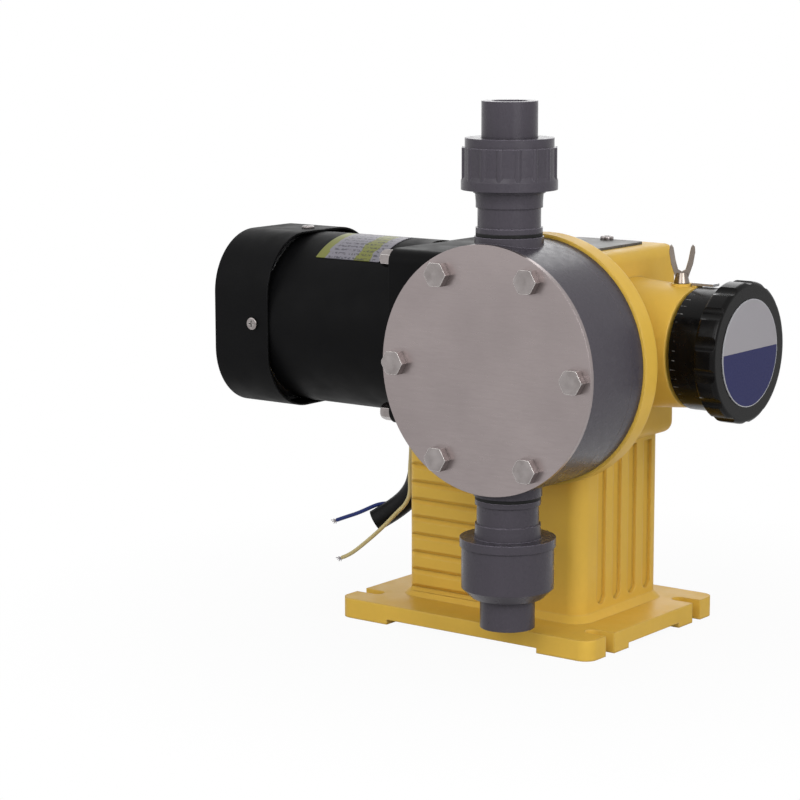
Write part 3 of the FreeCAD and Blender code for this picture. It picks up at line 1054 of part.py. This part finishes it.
def cable_pieces():
    under = DRIVE_Z - BARREL_RADIUS
    mouth = under - GLAND_HEIGHT
    gland = rod_z(GLAND_RADIUS, mouth, under + GLAND_NUT, GLAND_X, DRIVE_Y)
    gland = gland.fuse(hexagon(GLAND_FLATS, GLAND_NUT, V(GLAND_X, DRIVE_Y, under), V(0, 0, -1)))
    gland = take(gland, [rod_z(CABLE_RADIUS, mouth - 1, under + GLAND_NUT, GLAND_X, DRIVE_Y),
                         rod_z(CORE_RADIUS, mouth - 1, mouth + YELLOW_SEAT, GLAND_X, YELLOW_Y),
                         rod_x(BARREL_RADIUS, BARREL_BACK, GEARHEAD_REAR)])
    cable = lead([(GLAND_X, DRIVE_Y, under), (GLAND_X, DRIVE_Y, mouth)] + CABLE_POINTS,
                 CABLE_RADIUS - RUNNING)
    yellow = lead([(GLAND_X, YELLOW_Y, mouth + YELLOW_SEAT), (GLAND_X, YELLOW_Y, mouth)] + YELLOW_POINTS,
                  CORE_RADIUS - RUNNING)
    blue = lead(BLUE_POINTS, CORE_RADIUS - RUNNING)
    return {"cable_gland": gland, "motor_cable": cable, "blue_core": blue.cut(cable), "yellow_core": yellow}


def all_nodes():
    nodes = {"gearbox_housing": gearbox_housing()}
    for pieces in (covers(), head_pieces(), diaphragm_pieces(), rod_pieces(), drive_train(), gearhead_pieces(),
                   motor_pieces(), adjuster_pieces(), valve_pieces(), cable_pieces()):
        nodes.update(pieces)
    return nodes


def main():
    os.makedirs("parts", exist_ok=True)
    for name, shape in all_nodes().items():
        shape.exportStep(os.path.join("parts", name + ".step"))


main()
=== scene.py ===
import json
import math

import bpy
import bmesh
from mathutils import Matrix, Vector


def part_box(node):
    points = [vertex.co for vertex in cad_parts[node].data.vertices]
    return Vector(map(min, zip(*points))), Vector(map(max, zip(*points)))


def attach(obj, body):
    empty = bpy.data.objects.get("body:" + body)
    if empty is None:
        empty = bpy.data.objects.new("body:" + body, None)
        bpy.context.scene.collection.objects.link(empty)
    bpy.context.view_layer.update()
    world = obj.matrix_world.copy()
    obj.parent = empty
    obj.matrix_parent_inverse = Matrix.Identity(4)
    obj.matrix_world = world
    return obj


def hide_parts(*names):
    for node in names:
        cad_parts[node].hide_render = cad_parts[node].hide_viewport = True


# Looks of the diaphragm metering pump, in metres, in the frame of the CAD model

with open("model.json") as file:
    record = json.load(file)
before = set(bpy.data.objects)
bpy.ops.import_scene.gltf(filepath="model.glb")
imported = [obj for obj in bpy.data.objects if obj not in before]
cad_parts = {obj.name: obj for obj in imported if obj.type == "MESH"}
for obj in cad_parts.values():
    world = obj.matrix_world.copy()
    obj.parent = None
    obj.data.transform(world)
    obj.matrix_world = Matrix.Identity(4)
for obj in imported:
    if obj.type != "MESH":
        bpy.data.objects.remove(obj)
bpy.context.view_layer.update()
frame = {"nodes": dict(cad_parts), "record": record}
nodes = frame["nodes"]

# The drive shaft's line along X, and the knob's, which lies a little higher
DRIVE_Y = 0.008
DRIVE_Z = 0.1695
KNOB_Z = 0.1725


# Camera, at the photograph's place

CAMERA_PLACE = (0.8374, -1.2289, 0.3810)
CAMERA_TURN = (37.24, 9.5, -0.14)
CAMERA_LENS = 113.14
SENSOR_WIDTH = 36
NEAREST_SEEN = 0.05


def aim_camera():
    """Looks at the pump from the photograph's side, a little above it."""
    azimuth, elevation, roll = (math.radians(degrees) for degrees in CAMERA_TURN)
    forward = Vector((-math.sin(azimuth) * math.cos(elevation), math.cos(azimuth) * math.cos(elevation),
                      -math.sin(elevation)))
    level = Vector((math.cos(azimuth), math.sin(azimuth), 0))
    upright = level.cross(forward)
    right = math.cos(roll) * level + math.sin(roll) * upright
    up = -math.sin(roll) * level + math.cos(roll) * upright
    data = bpy.data.cameras.new("camera")
    data.lens = CAMERA_LENS
    data.sensor_width = SENSOR_WIDTH
    data.clip_start = NEAREST_SEEN
    camera = bpy.data.objects.new("camera", data)
    bpy.context.scene.collection.objects.link(camera)
    turned = camera.matrix_world.to_3x3()
    turned.col[0], turned.col[1], turned.col[2] = right, up, -forward
    camera.matrix_world = turned.to_4x4()
    camera.location = CAMERA_PLACE
    bpy.context.scene.camera = camera


aim_camera()


# Motor lead: a sheath from the gland and two bare-ended cores, on the same points as in the CAD source

SHEATH_ROUTE = [(-0.087, 0.008, 0.1157), (-0.087, 0.008, 0.1037), (-0.087, 0.008, 0.091),
                (-0.0885, 0.0095, 0.0777), (-0.0948, 0.0118, 0.0625), (-0.1066, 0.0087, 0.0507),
                (-0.118, 0.002, 0.0429)]
BLUE_ROUTE = [(-0.1098, 0.0075, 0.0542), (-0.1144, 0.006, 0.0539), (-0.1196, 0.0045, 0.0523),
              (-0.1251, 0.0035, 0.0495), (-0.1328, 0.003, 0.0457), (-0.1414, 0.0025, 0.0424),
              (-0.1496, 0.0025, 0.0391)]
YELLOW_ROUTE = [(-0.087, -0.0015, 0.1067), (-0.087, -0.0015, 0.1037), (-0.087, -0.0015, 0.092),
                (-0.0875, -0.0025, 0.078), (-0.0876, -0.0015, 0.0644), (-0.0911, -0.0025, 0.0571),
                (-0.0967, -0.0035, 0.0518), (-0.1042, -0.005, 0.0437), (-0.1114, -0.006, 0.0368),
                (-0.1243, -0.006, 0.0263), (-0.1332, -0.006, 0.0199), (-0.1389, -0.006, 0.0175)]
SHEATH_RADIUS = 0.007
SHEATH_LENGTH = 0.0864
CORE_RADIUS = 0.00125
BLUE_LENGTH = 0.0433
YELLOW_LENGTH = 0.1129

STRAND_COUNT = 9
STRAND_RADIUS = 0.00028
STRAND_TURN = 2.4


def spline(name, points, radius):
    """A smooth tube; each point's own radius is the tube's, in metres, so its bounds are true."""
    curve = bpy.data.curves.new(name, "CURVE")
    curve.dimensions = "3D"
    curve.bevel_depth = 1.0
    curve.bevel_resolution = 6
    curve.resolution_u = 16
    curve.use_fill_caps = True
    line = curve.splines.new("NURBS")
    line.points.add(len(points) - 1)
    for point, place in zip(line.points, points):
        point.co = (*place, 1.0)
        point.radius = radius
    line.order_u = 3
    line.use_endpoint_u = True
    obj = bpy.data.objects.new(name, curve)
    bpy.context.scene.collection.objects.link(obj)
    return obj


def frayed_tip(name, route):
    """A few bare strands that spread from a core's end."""
    end, before = Vector(route[-1]), Vector(route[-2])
    ahead = (end - before).normalized()
    side = ahead.cross(Vector((0, 1, 0))).normalized()
    bm = bmesh.new()
    for k in range(STRAND_COUNT):
        angle = k * STRAND_TURN
        lean = (math.cos(angle) * side + math.sin(angle) * Vector((0, 1, 0))) * (0.25 + 0.09 * k)
        root = end - 0.0012 * ahead + 0.0005 * lean
        middle = root + 0.0022 * ahead + 0.0004 * lean
        tip = middle + (0.0016 + 0.0003 * (k % 4)) * (ahead + 0.9 * lean).normalized()
        rings = [ring_of(bm, place, ahead, STRAND_RADIUS) for place in (root, middle, tip)]
        for low, high in zip(rings, rings[1:]):
            for i, corner in enumerate(low):
                bm.faces.new((corner, low[i - 1], high[i - 1], high[i]))
        bm.faces.new(rings[-1])
    mesh = bpy.data.meshes.new(name)
    bm.to_mesh(mesh)
    bm.free()
    obj = bpy.data.objects.new(name, mesh)
    bpy.context.scene.collection.objects.link(obj)
    return obj


def ring_of(bm, place, ahead, radius, sides=6):
    """Corners of one small ring across a strand."""
    across = ahead.cross(Vector((0, 1, 0))).normalized()
    upward = across.cross(ahead)
    corners = []
    for i in range(sides):
        angle = 2 * math.pi * i / sides
        out = math.cos(angle) * across + math.sin(angle) * upward
        corners.append(bm.verts.new(place + radius * out))
    return corners


def lead(name, node, finish, route, radius, length):
    """One cord in place of its CAD tube, with loose strands at a core's end."""
    line = spline(name, route, radius)
    pieces = [line]
    if node != "motor_cable":
        pieces.append(frayed_tip(name + "_strands", route))
    for piece in pieces:
        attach(piece, "pump_body")
    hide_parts(node)
    return pieces


CORDS = [
    ("lead_sheath", "motor_cable", "cable_sheath", SHEATH_ROUTE, SHEATH_RADIUS, SHEATH_LENGTH),
    ("lead_blue_core", "blue_core", "blue_insulation", BLUE_ROUTE, CORE_RADIUS, BLUE_LENGTH),
    ("lead_yellow_core", "yellow_core", "yellow_insulation", YELLOW_ROUTE, CORE_RADIUS, YELLOW_LENGTH),
]
leads = {cord[2]: lead(*cord) for cord in CORDS}


# Node graphs

class Graph:
    """Short calls that add nodes to one material."""

    def __init__(self, name):
        self.material = bpy.data.materials.new(name)
        self.material.use_nodes = True
        self.tree = self.material.node_tree
        self.shader = self.tree.nodes["Principled BSDF"]
        self.place = self.add("ShaderNodeTexCoord").outputs["Object"]

    def add(self, kind, **settings):
        node = self.tree.nodes.new(kind)
        for key, value in settings.items():
            setattr(node, key, value)
        return node

    def feed(self, socket, value):
        if isinstance(value, bpy.types.NodeSocket):
            self.tree.links.new(value, socket)
        else:
            socket.default_value = value

    def math(self, operation, a, b=0.0, clamp=False):
        node = self.add("ShaderNodeMath", operation=operation, use_clamp=clamp)
        self.feed(node.inputs[0], a)
        self.feed(node.inputs[1], b)
        return node.outputs[0]

    def axis(self, name):
        split = self.add("ShaderNodeSeparateXYZ")
        self.feed(split.inputs[0], self.place)
        return split.outputs[name]

    def stretch(self, scale):
        mapping = self.add("ShaderNodeMapping")
        self.feed(mapping.inputs["Vector"], self.place)
        mapping.inputs["Scale"].default_value = scale
        return mapping.outputs[0]

    def noise(self, scale, detail=3.0, rough=0.5, vector=None):
        node = self.add("ShaderNodeTexNoise")
        self.feed(node.inputs["Vector"], vector or self.place)
        node.inputs["Scale"].default_value = scale
        node.inputs["Detail"].default_value = detail
        node.inputs["Roughness"].default_value = rough
        return node.outputs["Fac"]

    def spread(self, value, low, high, start=0.3, end=0.7):
        node = self.add("ShaderNodeMapRange")
        self.feed(node.inputs["Value"], value)
        for key, number in (("From Min", start), ("From Max", end), ("To Min", low), ("To Max", high)):
            node.inputs[key].default_value = number
        return node.outputs[0]

    def mix(self, factor, a, b, blend="MIX"):
        node = self.add("ShaderNodeMix", data_type="RGBA", blend_type=blend)
        self.feed(node.inputs[0], factor)
        for socket, value in ((node.inputs[6], a), (node.inputs[7], b)):
            self.feed(socket, (*value, 1.0) if isinstance(value, tuple) and len(value) == 3 else value)
        return node.outputs[2]

    def soft_edge(self, radius):
        node = self.add("ShaderNodeBevel", samples=4)
        node.inputs["Radius"].default_value = radius
        return node.outputs[0]

    def edge_mask(self, radius):
        """1 on edges within radius, 0 on open faces."""
        flat = self.add("ShaderNodeNewGeometry").outputs["Normal"]
        dot = self.add("ShaderNodeVectorMath", operation="DOT_PRODUCT")
        self.feed(dot.inputs[0], self.soft_edge(radius))
        self.feed(dot.inputs[1], flat)
        return self.spread(dot.outputs["Value"], 1.0, 0.0, 0.85, 0.99)

    def corner_shade_mask(self, reach):
        """Mask for painted shade: 1 deep in corners, 0 on open faces."""
        node = self.add("ShaderNodeAmbientOcclusion", samples=4)
        node.inputs["Distance"].default_value = reach
        return self.spread(node.outputs["AO"], 0.75, 0.0, 0.3, 0.75)

    def bump(self, height, strength, distance, normal=None):
        node = self.add("ShaderNodeBump")
        self.feed(node.inputs["Height"], height)
        node.inputs["Strength"].default_value = strength
        node.inputs["Distance"].default_value = distance
        if normal:
            self.feed(node.inputs["Normal"], normal)
        return node.outputs[0]

    def set(self, **values):
        for key, value in values.items():
            self.feed(self.shader.inputs[key.replace("_", " ")], value)


def shade(colour, factor):
    return tuple(min(1.0, c * factor) for c in colour)


def toned(graph, colour, vary, scale):
    """The colour with a broad drift and a fine grain."""
    broad = graph.spread(graph.noise(scale, 2.0), 0.0, 1.0)
    fine = graph.spread(graph.noise(scale * 14, 4.0), 0.0, 1.0)
    base = graph.mix(broad, shade(colour, 1 - vary), shade(colour, 1 + vary))
    return graph.mix(graph.math("MULTIPLY", fine, 0.25), base, shade(colour, 1 - 2 * vary))


def paint(name, colour, rough, lumps, round_edge=0.0008, gloss=0.15, wear=None):
    """Sprayed enamel on a casting or sheet: orange peel, slight lumps, edges where the coat is thin, and
    painted shade in its corners and grooves.
    """
    g = Graph(name)
    tint = toned(g, colour, 0.05, 22)
    if wear:
        thin = g.math("MULTIPLY", g.edge_mask(round_edge * 1.6), g.spread(g.noise(160, 4), 0.1, 0.7))
        tint = g.mix(thin, tint, wear)
    # painted shade: the enamel turns darker in corners and grooves, where shade falls
    tint = g.mix(g.corner_shade_mask(0.0035), tint, shade(colour, 0.45))
    peel = g.bump(g.noise(850, 2), 0.25, 0.00012, g.soft_edge(round_edge))
    cast = g.bump(g.noise(140, 4), 0.5, lumps, peel)
    g.set(Base_Color=tint, Roughness=g.spread(g.noise(70, 3), rough - 0.06, rough + 0.08), Normal=cast,
          Specular_IOR_Level=gloss)
    return g.material


def plastic(name, colour, rough, grain=0.00004, round_edge=0.0006, gloss=0.2, mark=0.06, rub_and_highlight=0.35):
    """Moulded plastic: a fine sparkle, faint flow marks, softened edges made lighter by wear and painted
    highlight, a stronger painted highlight on edges that face up, and painted shade in corners.
    """
    g = Graph(name)
    flow = g.spread(g.noise(40, 5, 0.6, g.stretch((1.0, 1.0, 0.25))), 0.0, 1.0)
    tint = g.mix(flow, shade(colour, 1 - mark), shade(colour, 1 + mark))
    edge = g.edge_mask(round_edge)
    split = g.add("ShaderNodeSeparateXYZ")
    g.feed(split.inputs[0], g.soft_edge(round_edge))
    # painted highlight: edges that face upwards, where light falls, are made much lighter
    lit = g.math("MULTIPLY", edge, g.spread(split.outputs["Z"], 0.0, 1.0, 0.25, 0.75))
    # all edges a little lighter: part wear, part painted highlight
    tint = g.mix(g.math("MULTIPLY", edge, rub_and_highlight), tint, shade(colour, 1.7))
    tint = g.mix(g.math("MULTIPLY", lit, min(1.0, 1.6 * rub_and_highlight)), tint, shade(colour, 7.5))
    # painted shade: the plastic turns much darker in corners and recesses
    tint = g.mix(g.corner_shade_mask(0.003), tint, shade(colour, 0.2))
    g.set(Base_Color=tint, Roughness=g.spread(g.noise(220, 4), rough - 0.05, rough + 0.09),
          Normal=g.bump(g.noise(1300, 3), 0.35, grain, g.soft_edge(round_edge)), Specular_IOR_Level=gloss)
    return g.material


def metal(name, colour, rough, brush=(1.0, 1.0, 1.0), scale=260, depth=0.00003, round_edge=0.0004, vary=0.08):
    """Machined or drawn metal: fine lines along the brush direction over a slightly cloudy tone."""
    g = Graph(name)
    lines = g.noise(scale, 6, 0.65, g.stretch(brush))
    cloud = g.spread(g.noise(18, 3), 0.0, 1.0)
    tint = g.mix(cloud, shade(colour, 1 - vary), shade(colour, 1 + vary))
    g.set(Base_Color=g.mix(g.spread(lines, 0.0, 0.35), tint, shade(colour, 0.72)), Metallic=1.0,
          Roughness=g.spread(lines, rough - 0.05, rough + 0.1),
          Normal=g.bump(lines, 0.3, depth, g.soft_edge(round_edge)))
    return g.material


def bolt_metal():
    """Bright forged heads: pale edges, part wear and part painted highlight, darker faces, and painted shade
    where head meets plate.
    """
    g = Graph("bright_bolt_steel")
    cloud = g.spread(g.noise(150, 3, 0.5), 0.0, 1.0)
    tint = g.mix(cloud, (0.24, 0.215, 0.21), (0.34, 0.31, 0.305))
    # pale edges: part wear, part painted highlight
    tint = g.mix(g.edge_mask(0.0005), tint, (0.75, 0.72, 0.70))
    # painted shade: near black in the corner where head meets plate
    tint = g.mix(g.corner_shade_mask(0.0045), tint, (0.015, 0.013, 0.013))
    g.set(Base_Color=tint, Metallic=1.0, Roughness=g.spread(g.noise(500, 4), 0.16, 0.24),
          Normal=g.bump(g.noise(420, 4), 0.08, 0.00002, g.soft_edge(0.0003)))
    return g.material


SCALE_STROKES = 40
SCALE_FROM, SCALE_TO = 0.1135, 0.1170


def knob_plastic():
    """Glossy black moulding with worn pale scale strokes round its collar and a painted highlight on its
    edges.
    """
    g = Graph("glossy_black_plastic")
    y = g.math("SUBTRACT", g.axis("Y"), DRIVE_Y)
    z = g.math("SUBTRACT", g.axis("Z"), KNOB_Z)
    turn = g.math("MULTIPLY", g.math("ARCTAN2", y, z), SCALE_STROKES / (2 * math.pi))
    stroke = g.math("LESS_THAN", g.math("ABSOLUTE", g.math("SUBTRACT", g.math("FRACT", turn), 0.5)), 0.045)
    x = g.axis("X")
    band = g.math("MULTIPLY", g.math("GREATER_THAN", x, SCALE_FROM), g.math("LESS_THAN", x, SCALE_TO))
    worn = g.spread(g.noise(330, 4), 0.0, 0.55, 0.45, 0.62)
    tint = g.mix(g.spread(g.noise(60, 4), 0.0, 1.0), (0.0022, 0.0020, 0.0020), (0.0038, 0.0034, 0.0034))
    # painted highlight: the knob's edges are made lighter
    tint = g.mix(g.math("MULTIPLY", g.edge_mask(0.0008), 0.4), tint, (0.011, 0.010, 0.010))
    tint = g.mix(g.math("MULTIPLY", g.math("MULTIPLY", stroke, band), worn), tint, (0.35, 0.35, 0.35))
    g.set(Base_Color=tint, Roughness=g.spread(g.noise(260, 4), 0.16, 0.30), Specular_IOR_Level=0.11,
          Normal=g.bump(g.noise(1100, 3), 0.35, 0.00003, g.soft_edge(0.0007)))
    return g.material


FACE_DIVISION = 0.0017
FACE_RIM_RADIUS = 0.0302


def knob_face():
    """Two-tone printed disc, light grey over navy with a pale rim line, and nothing written on it."""
    g = Graph("knob_face")
    y = g.math("SUBTRACT", g.axis("Y"), DRIVE_Y)
    z = g.math("SUBTRACT", g.axis("Z"), KNOB_Z)
    radius = g.math("SQRT", g.math("ADD", g.math("MULTIPLY", y, y), g.math("MULTIPLY", z, z)))
    upper = g.math("GREATER_THAN", z, FACE_DIVISION)
    grain = g.spread(g.noise(900, 3), 0.0, 0.06)
    tint = g.mix(upper, (0.016, 0.018, 0.088), (0.34, 0.325, 0.345))
    tint = g.mix(grain, tint, (0.20, 0.20, 0.24))
    rim = g.math("GREATER_THAN", radius, FACE_RIM_RADIUS)
    tint = g.mix(rim, tint, (0.42, 0.42, 0.44))
    g.set(Base_Color=tint, Roughness=0.36, Specular_IOR_Level=0.08,
          Normal=g.bump(g.noise(500, 2), 0.2, 0.00003))
    return g.material


def rating_plate():
    """Pale foil with two yellow-green fields and fine broken rows of marks that say nothing."""
    g = Graph("rating_plate")
    low, high = (corner.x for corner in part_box("motor_nameplate"))
    along = g.math("DIVIDE", g.math("SUBTRACT", g.axis("X"), low), high - low)
    outward = g.math("SUBTRACT", DRIVE_Y, g.axis("Y"))
    around = g.math("ARCTAN2", outward, g.math("SUBTRACT", g.axis("Z"), DRIVE_Z))
    drift = g.math("MULTIPLY", g.math("SUBTRACT", g.noise(120, 3), 0.5), 0.12)
    near = g.math("ADD", along, drift)
    left = g.math("LESS_THAN", near, 0.14)
    right = g.math("MULTIPLY", g.math("GREATER_THAN", near, 0.60), g.math("LESS_THAN", near, 0.84))
    rows = g.math("LESS_THAN", g.math("FRACT", g.math("MULTIPLY", around, 14.0)), 0.5)
    marks = g.math("GREATER_THAN", g.noise(640, 2, 0.6), 0.5)
    field = g.math("MULTIPLY", g.math("GREATER_THAN", along, 0.18), g.math("LESS_THAN", along, 0.93))
    ink = g.math("MULTIPLY", g.math("MULTIPLY", rows, marks), g.math("MULTIPLY", field, 0.75))
    tint = g.mix(g.math("MAXIMUM", left, right), (0.235, 0.225, 0.26), (0.20, 0.21, 0.045))
    tint = g.mix(ink, tint, (0.03, 0.03, 0.045))
    g.set(Base_Color=tint, Roughness=0.42, Specular_IOR_Level=0.25,
          Normal=g.bump(g.noise(600, 2), 0.2, 0.00003))
    return g.material


def speckled_plate():
    """Thin cover plate: light grey enamel, spattered dark along its edges."""
    g = Graph("grey_enamel")
    base = toned(g, (0.108, 0.104, 0.100), 0.08, 40)
    specks = g.math("GREATER_THAN", g.noise(620, 4, 0.7), 0.56)
    near_edge = g.spread(g.edge_mask(0.006), 0.25, 1.0, 0.0, 0.4)
    tint = g.mix(g.math("MULTIPLY", specks, near_edge), base, (0.03, 0.03, 0.03))
    g.set(Base_Color=tint, Roughness=g.spread(g.noise(90, 3), 0.38, 0.5), Specular_IOR_Level=0.2,
          Normal=g.bump(g.noise(620, 3), 0.3, 0.0001, g.soft_edge(0.0006)))
    return g.material


def clear_glass():
    """Slightly green sight glass."""
    g = Graph("clear_glass")
    g.set(Base_Color=g.mix(g.noise(60), (0.75, 0.80, 0.74), (0.86, 0.90, 0.84)), Roughness=0.08)
    g.shader.inputs["Transmission Weight"].default_value = 0.85
    return g.material


YELLOW = (0.71, 0.450, 0.072)
GREY_PVC = (0.057, 0.051, 0.063)
BLACK = (0.0052, 0.0052, 0.0056)

materials = {
    "yellow_paint": paint("yellow_enamel", YELLOW, 0.42, 0.00022, 0.0012, 0.14, wear=(0.74, 0.50, 0.15)),
    "black_paint": paint("black_enamel", BLACK, 0.50, 0.00006, 0.0007, 0.05, wear=(0.025, 0.025, 0.026)),
    "polished_steel": metal("satin_stainless", (0.315, 0.272, 0.270), 0.30, (0.25, 1.0, 1.6), 420),
    "bolt_steel": bolt_metal(),
    "grey_pvc": plastic("grey_pvc", GREY_PVC, 0.27, gloss=0.17),
    "black_knob": knob_plastic(),
    "knob_face": knob_face(),
    "plate_foil": rating_plate(),
    "cover_grey": speckled_plate(),
    "wing_metal": metal("plated_brass", (0.26, 0.22, 0.19), 0.22, (1.0, 1.0, 0.5), 240, vary=0.55),
    "rubber": plastic("black_rubber", (0.010, 0.010, 0.010), 0.6, 0.00008, gloss=0.15),
    "ptfe": plastic("white_ptfe", (0.80, 0.80, 0.77), 0.45),
    "shaft_steel": metal("ground_steel", (0.52, 0.52, 0.53), 0.25, (0.2, 1.0, 1.0), 600),
    "gear_steel": metal("oiled_gear_steel", (0.36, 0.35, 0.34), 0.3, (0.5, 1.0, 1.0), 500),
    "spring_steel": metal("spring_steel", (0.28, 0.28, 0.29), 0.3),
    "bearing_steel": metal("bearing_steel", (0.66, 0.66, 0.68), 0.16, (0.3, 1.0, 1.0), 700),
    "bronze": metal("bronze", (0.50, 0.29, 0.12), 0.32, (0.3, 1.0, 1.0), 500),
    "lamination": metal("steel_laminations", (0.22, 0.22, 0.23), 0.45, (9.0, 0.6, 0.6), 160, 0.0002),
    "copper_winding": metal("varnished_copper", (0.48, 0.17, 0.06), 0.35, (6.0, 0.8, 0.8), 200, 0.0003),
    "motor_aluminium": metal("die_cast_aluminium", (0.50, 0.50, 0.51), 0.42, scale=180, depth=0.0001),
    "fan_plastic": plastic("fan_plastic", (0.012, 0.012, 0.012), 0.45),
    "ceramic": plastic("white_ceramic", (0.84, 0.84, 0.82), 0.12, gloss=0.6),
    "sight_glass": clear_glass(),
    "plug_steel": metal("blackened_steel", (0.05, 0.05, 0.052), 0.4),
    "cable_sheath": plastic("black_sheath", (0.0055, 0.0055, 0.006), 0.42, 0.00006, gloss=0.12),
    "blue_insulation": plastic("blue_insulation", (0.014, 0.028, 0.15), 0.38),
    "yellow_insulation": plastic("yellow_insulation", (0.60, 0.50, 0.24), 0.4),
}
bare_copper = metal("tinned_strands", (0.24, 0.22, 0.23), 0.34, (1.0, 1.0, 6.0), 500)


def dress_nodes():
    """Each CAD node gets the material of its slot in the record."""
    for part in frame["record"]["subparts"]:
        mesh = nodes[part["node"]].data
        mesh.materials.clear()
        mesh.materials.append(materials[part["material_slot"]])


def dress_leads():
    for finish, pieces in leads.items():
        pieces[0].data.materials.append(materials[finish])
        for strands in pieces[1:]:
            strands.data.materials.append(bare_copper)


dress_nodes()
dress_leads()


# Studio

# Each lamp's name, place, target, width and watts
LAMPS = [
    ("key_lamp", (0.95, -0.50, 0.58), (0, 0, 0.17), 0.55, 5.4),
    ("front_lamp", (0.28, -1.15, 0.80), (0, 0, 0.17), 0.8, 6.0),
    ("fill_lamp", (-1.2, -1.5, 0.9), (0, 0, 0.15), 1.2, 5.0),
    ("back_lamp", (-0.8, 1.6, 1.1), (0, 0, 0.15), 1.2, 8.0),
]
WORLD_LIGHT = 0.42
FLOOR_REACH = 9
FLOOR_DROP = 0.0004


def lamp(name, place, target, width, power):
    data = bpy.data.lights.new(name, "AREA")
    data.shape = "SQUARE"
    data.size = width
    data.energy = power
    obj = bpy.data.objects.new(name, data)
    obj.location = place
    obj.rotation_euler = (Vector(target) - Vector(place)).to_track_quat("-Z", "Y").to_euler()
    bpy.context.scene.collection.objects.link(obj)


def seen_directly(tree):
    """1 for camera, mirror and glass rays."""
    path = tree.nodes.new("ShaderNodeLightPath")
    total = path.outputs["Is Camera Ray"]
    for name in ("Is Glossy Ray", "Is Transmission Ray"):
        node = tree.nodes.new("ShaderNodeMath")
        node.operation = "MAXIMUM"
        tree.links.new(total, node.inputs[0])
        tree.links.new(path.outputs[name], node.inputs[1])
        total = node.outputs[0]
    return total


def studio():
    """Soft lamps and a dim world that the camera, metal and glass see as white."""
    scene = bpy.context.scene
    scene.view_settings.view_transform = "Standard"
    world = bpy.data.worlds.new("studio")
    scene.world = world
    world.use_nodes = True
    tree = world.node_tree
    background = tree.nodes["Background"]
    background.inputs["Color"].default_value = (1, 1, 1, 1)
    strength = tree.nodes.new("ShaderNodeMapRange")
    tree.links.new(seen_directly(tree), strength.inputs["Value"])
    strength.inputs["To Min"].default_value = WORLD_LIGHT
    strength.inputs["To Max"].default_value = 1.0
    tree.links.new(strength.outputs[0], background.inputs["Strength"])
    for settings in LAMPS:
        lamp(*settings)


def floor():
    """A wide matt floor that keeps the shadow and turns white away from the pump."""
    mesh = bpy.data.meshes.new("floor")
    bm = bmesh.new()
    for x, y in ((-1, -1), (1, -1), (1, 1), (-1, 1)):
        bm.verts.new((x * FLOOR_REACH, y * FLOOR_REACH, 0))
    bm.faces.new(bm.verts)
    bm.to_mesh(mesh)
    bm.free()
    obj = bpy.data.objects.new("floor", mesh)
    obj.location.z = -FLOOR_DROP
    bpy.context.scene.collection.objects.link(obj)
    g = Graph("floor_white")
    g.set(Base_Color=g.mix(g.noise(3), (0.52, 0.52, 0.52), (0.56, 0.56, 0.56)), Roughness=0.9)
    glow = g.add("ShaderNodeEmission")
    blend = g.add("ShaderNodeMixShader")
    away = g.add("ShaderNodeVectorMath", operation="LENGTH")
    g.feed(away.inputs[0], g.place)
    whiteness = g.spread(away.outputs["Value"], 0.95, 1.0, 0.12, 0.34)
    g.feed(blend.inputs[0], g.math("MULTIPLY", seen_directly(g.tree), whiteness))
    g.feed(blend.inputs[1], g.shader.outputs[0])
    g.feed(blend.inputs[2], glow.outputs[0])
    g.feed(g.tree.nodes["Material Output"].inputs["Surface"], blend.outputs[0])
    mesh.materials.append(g.material)


studio()
floor()

bpy.context.view_layer.update()
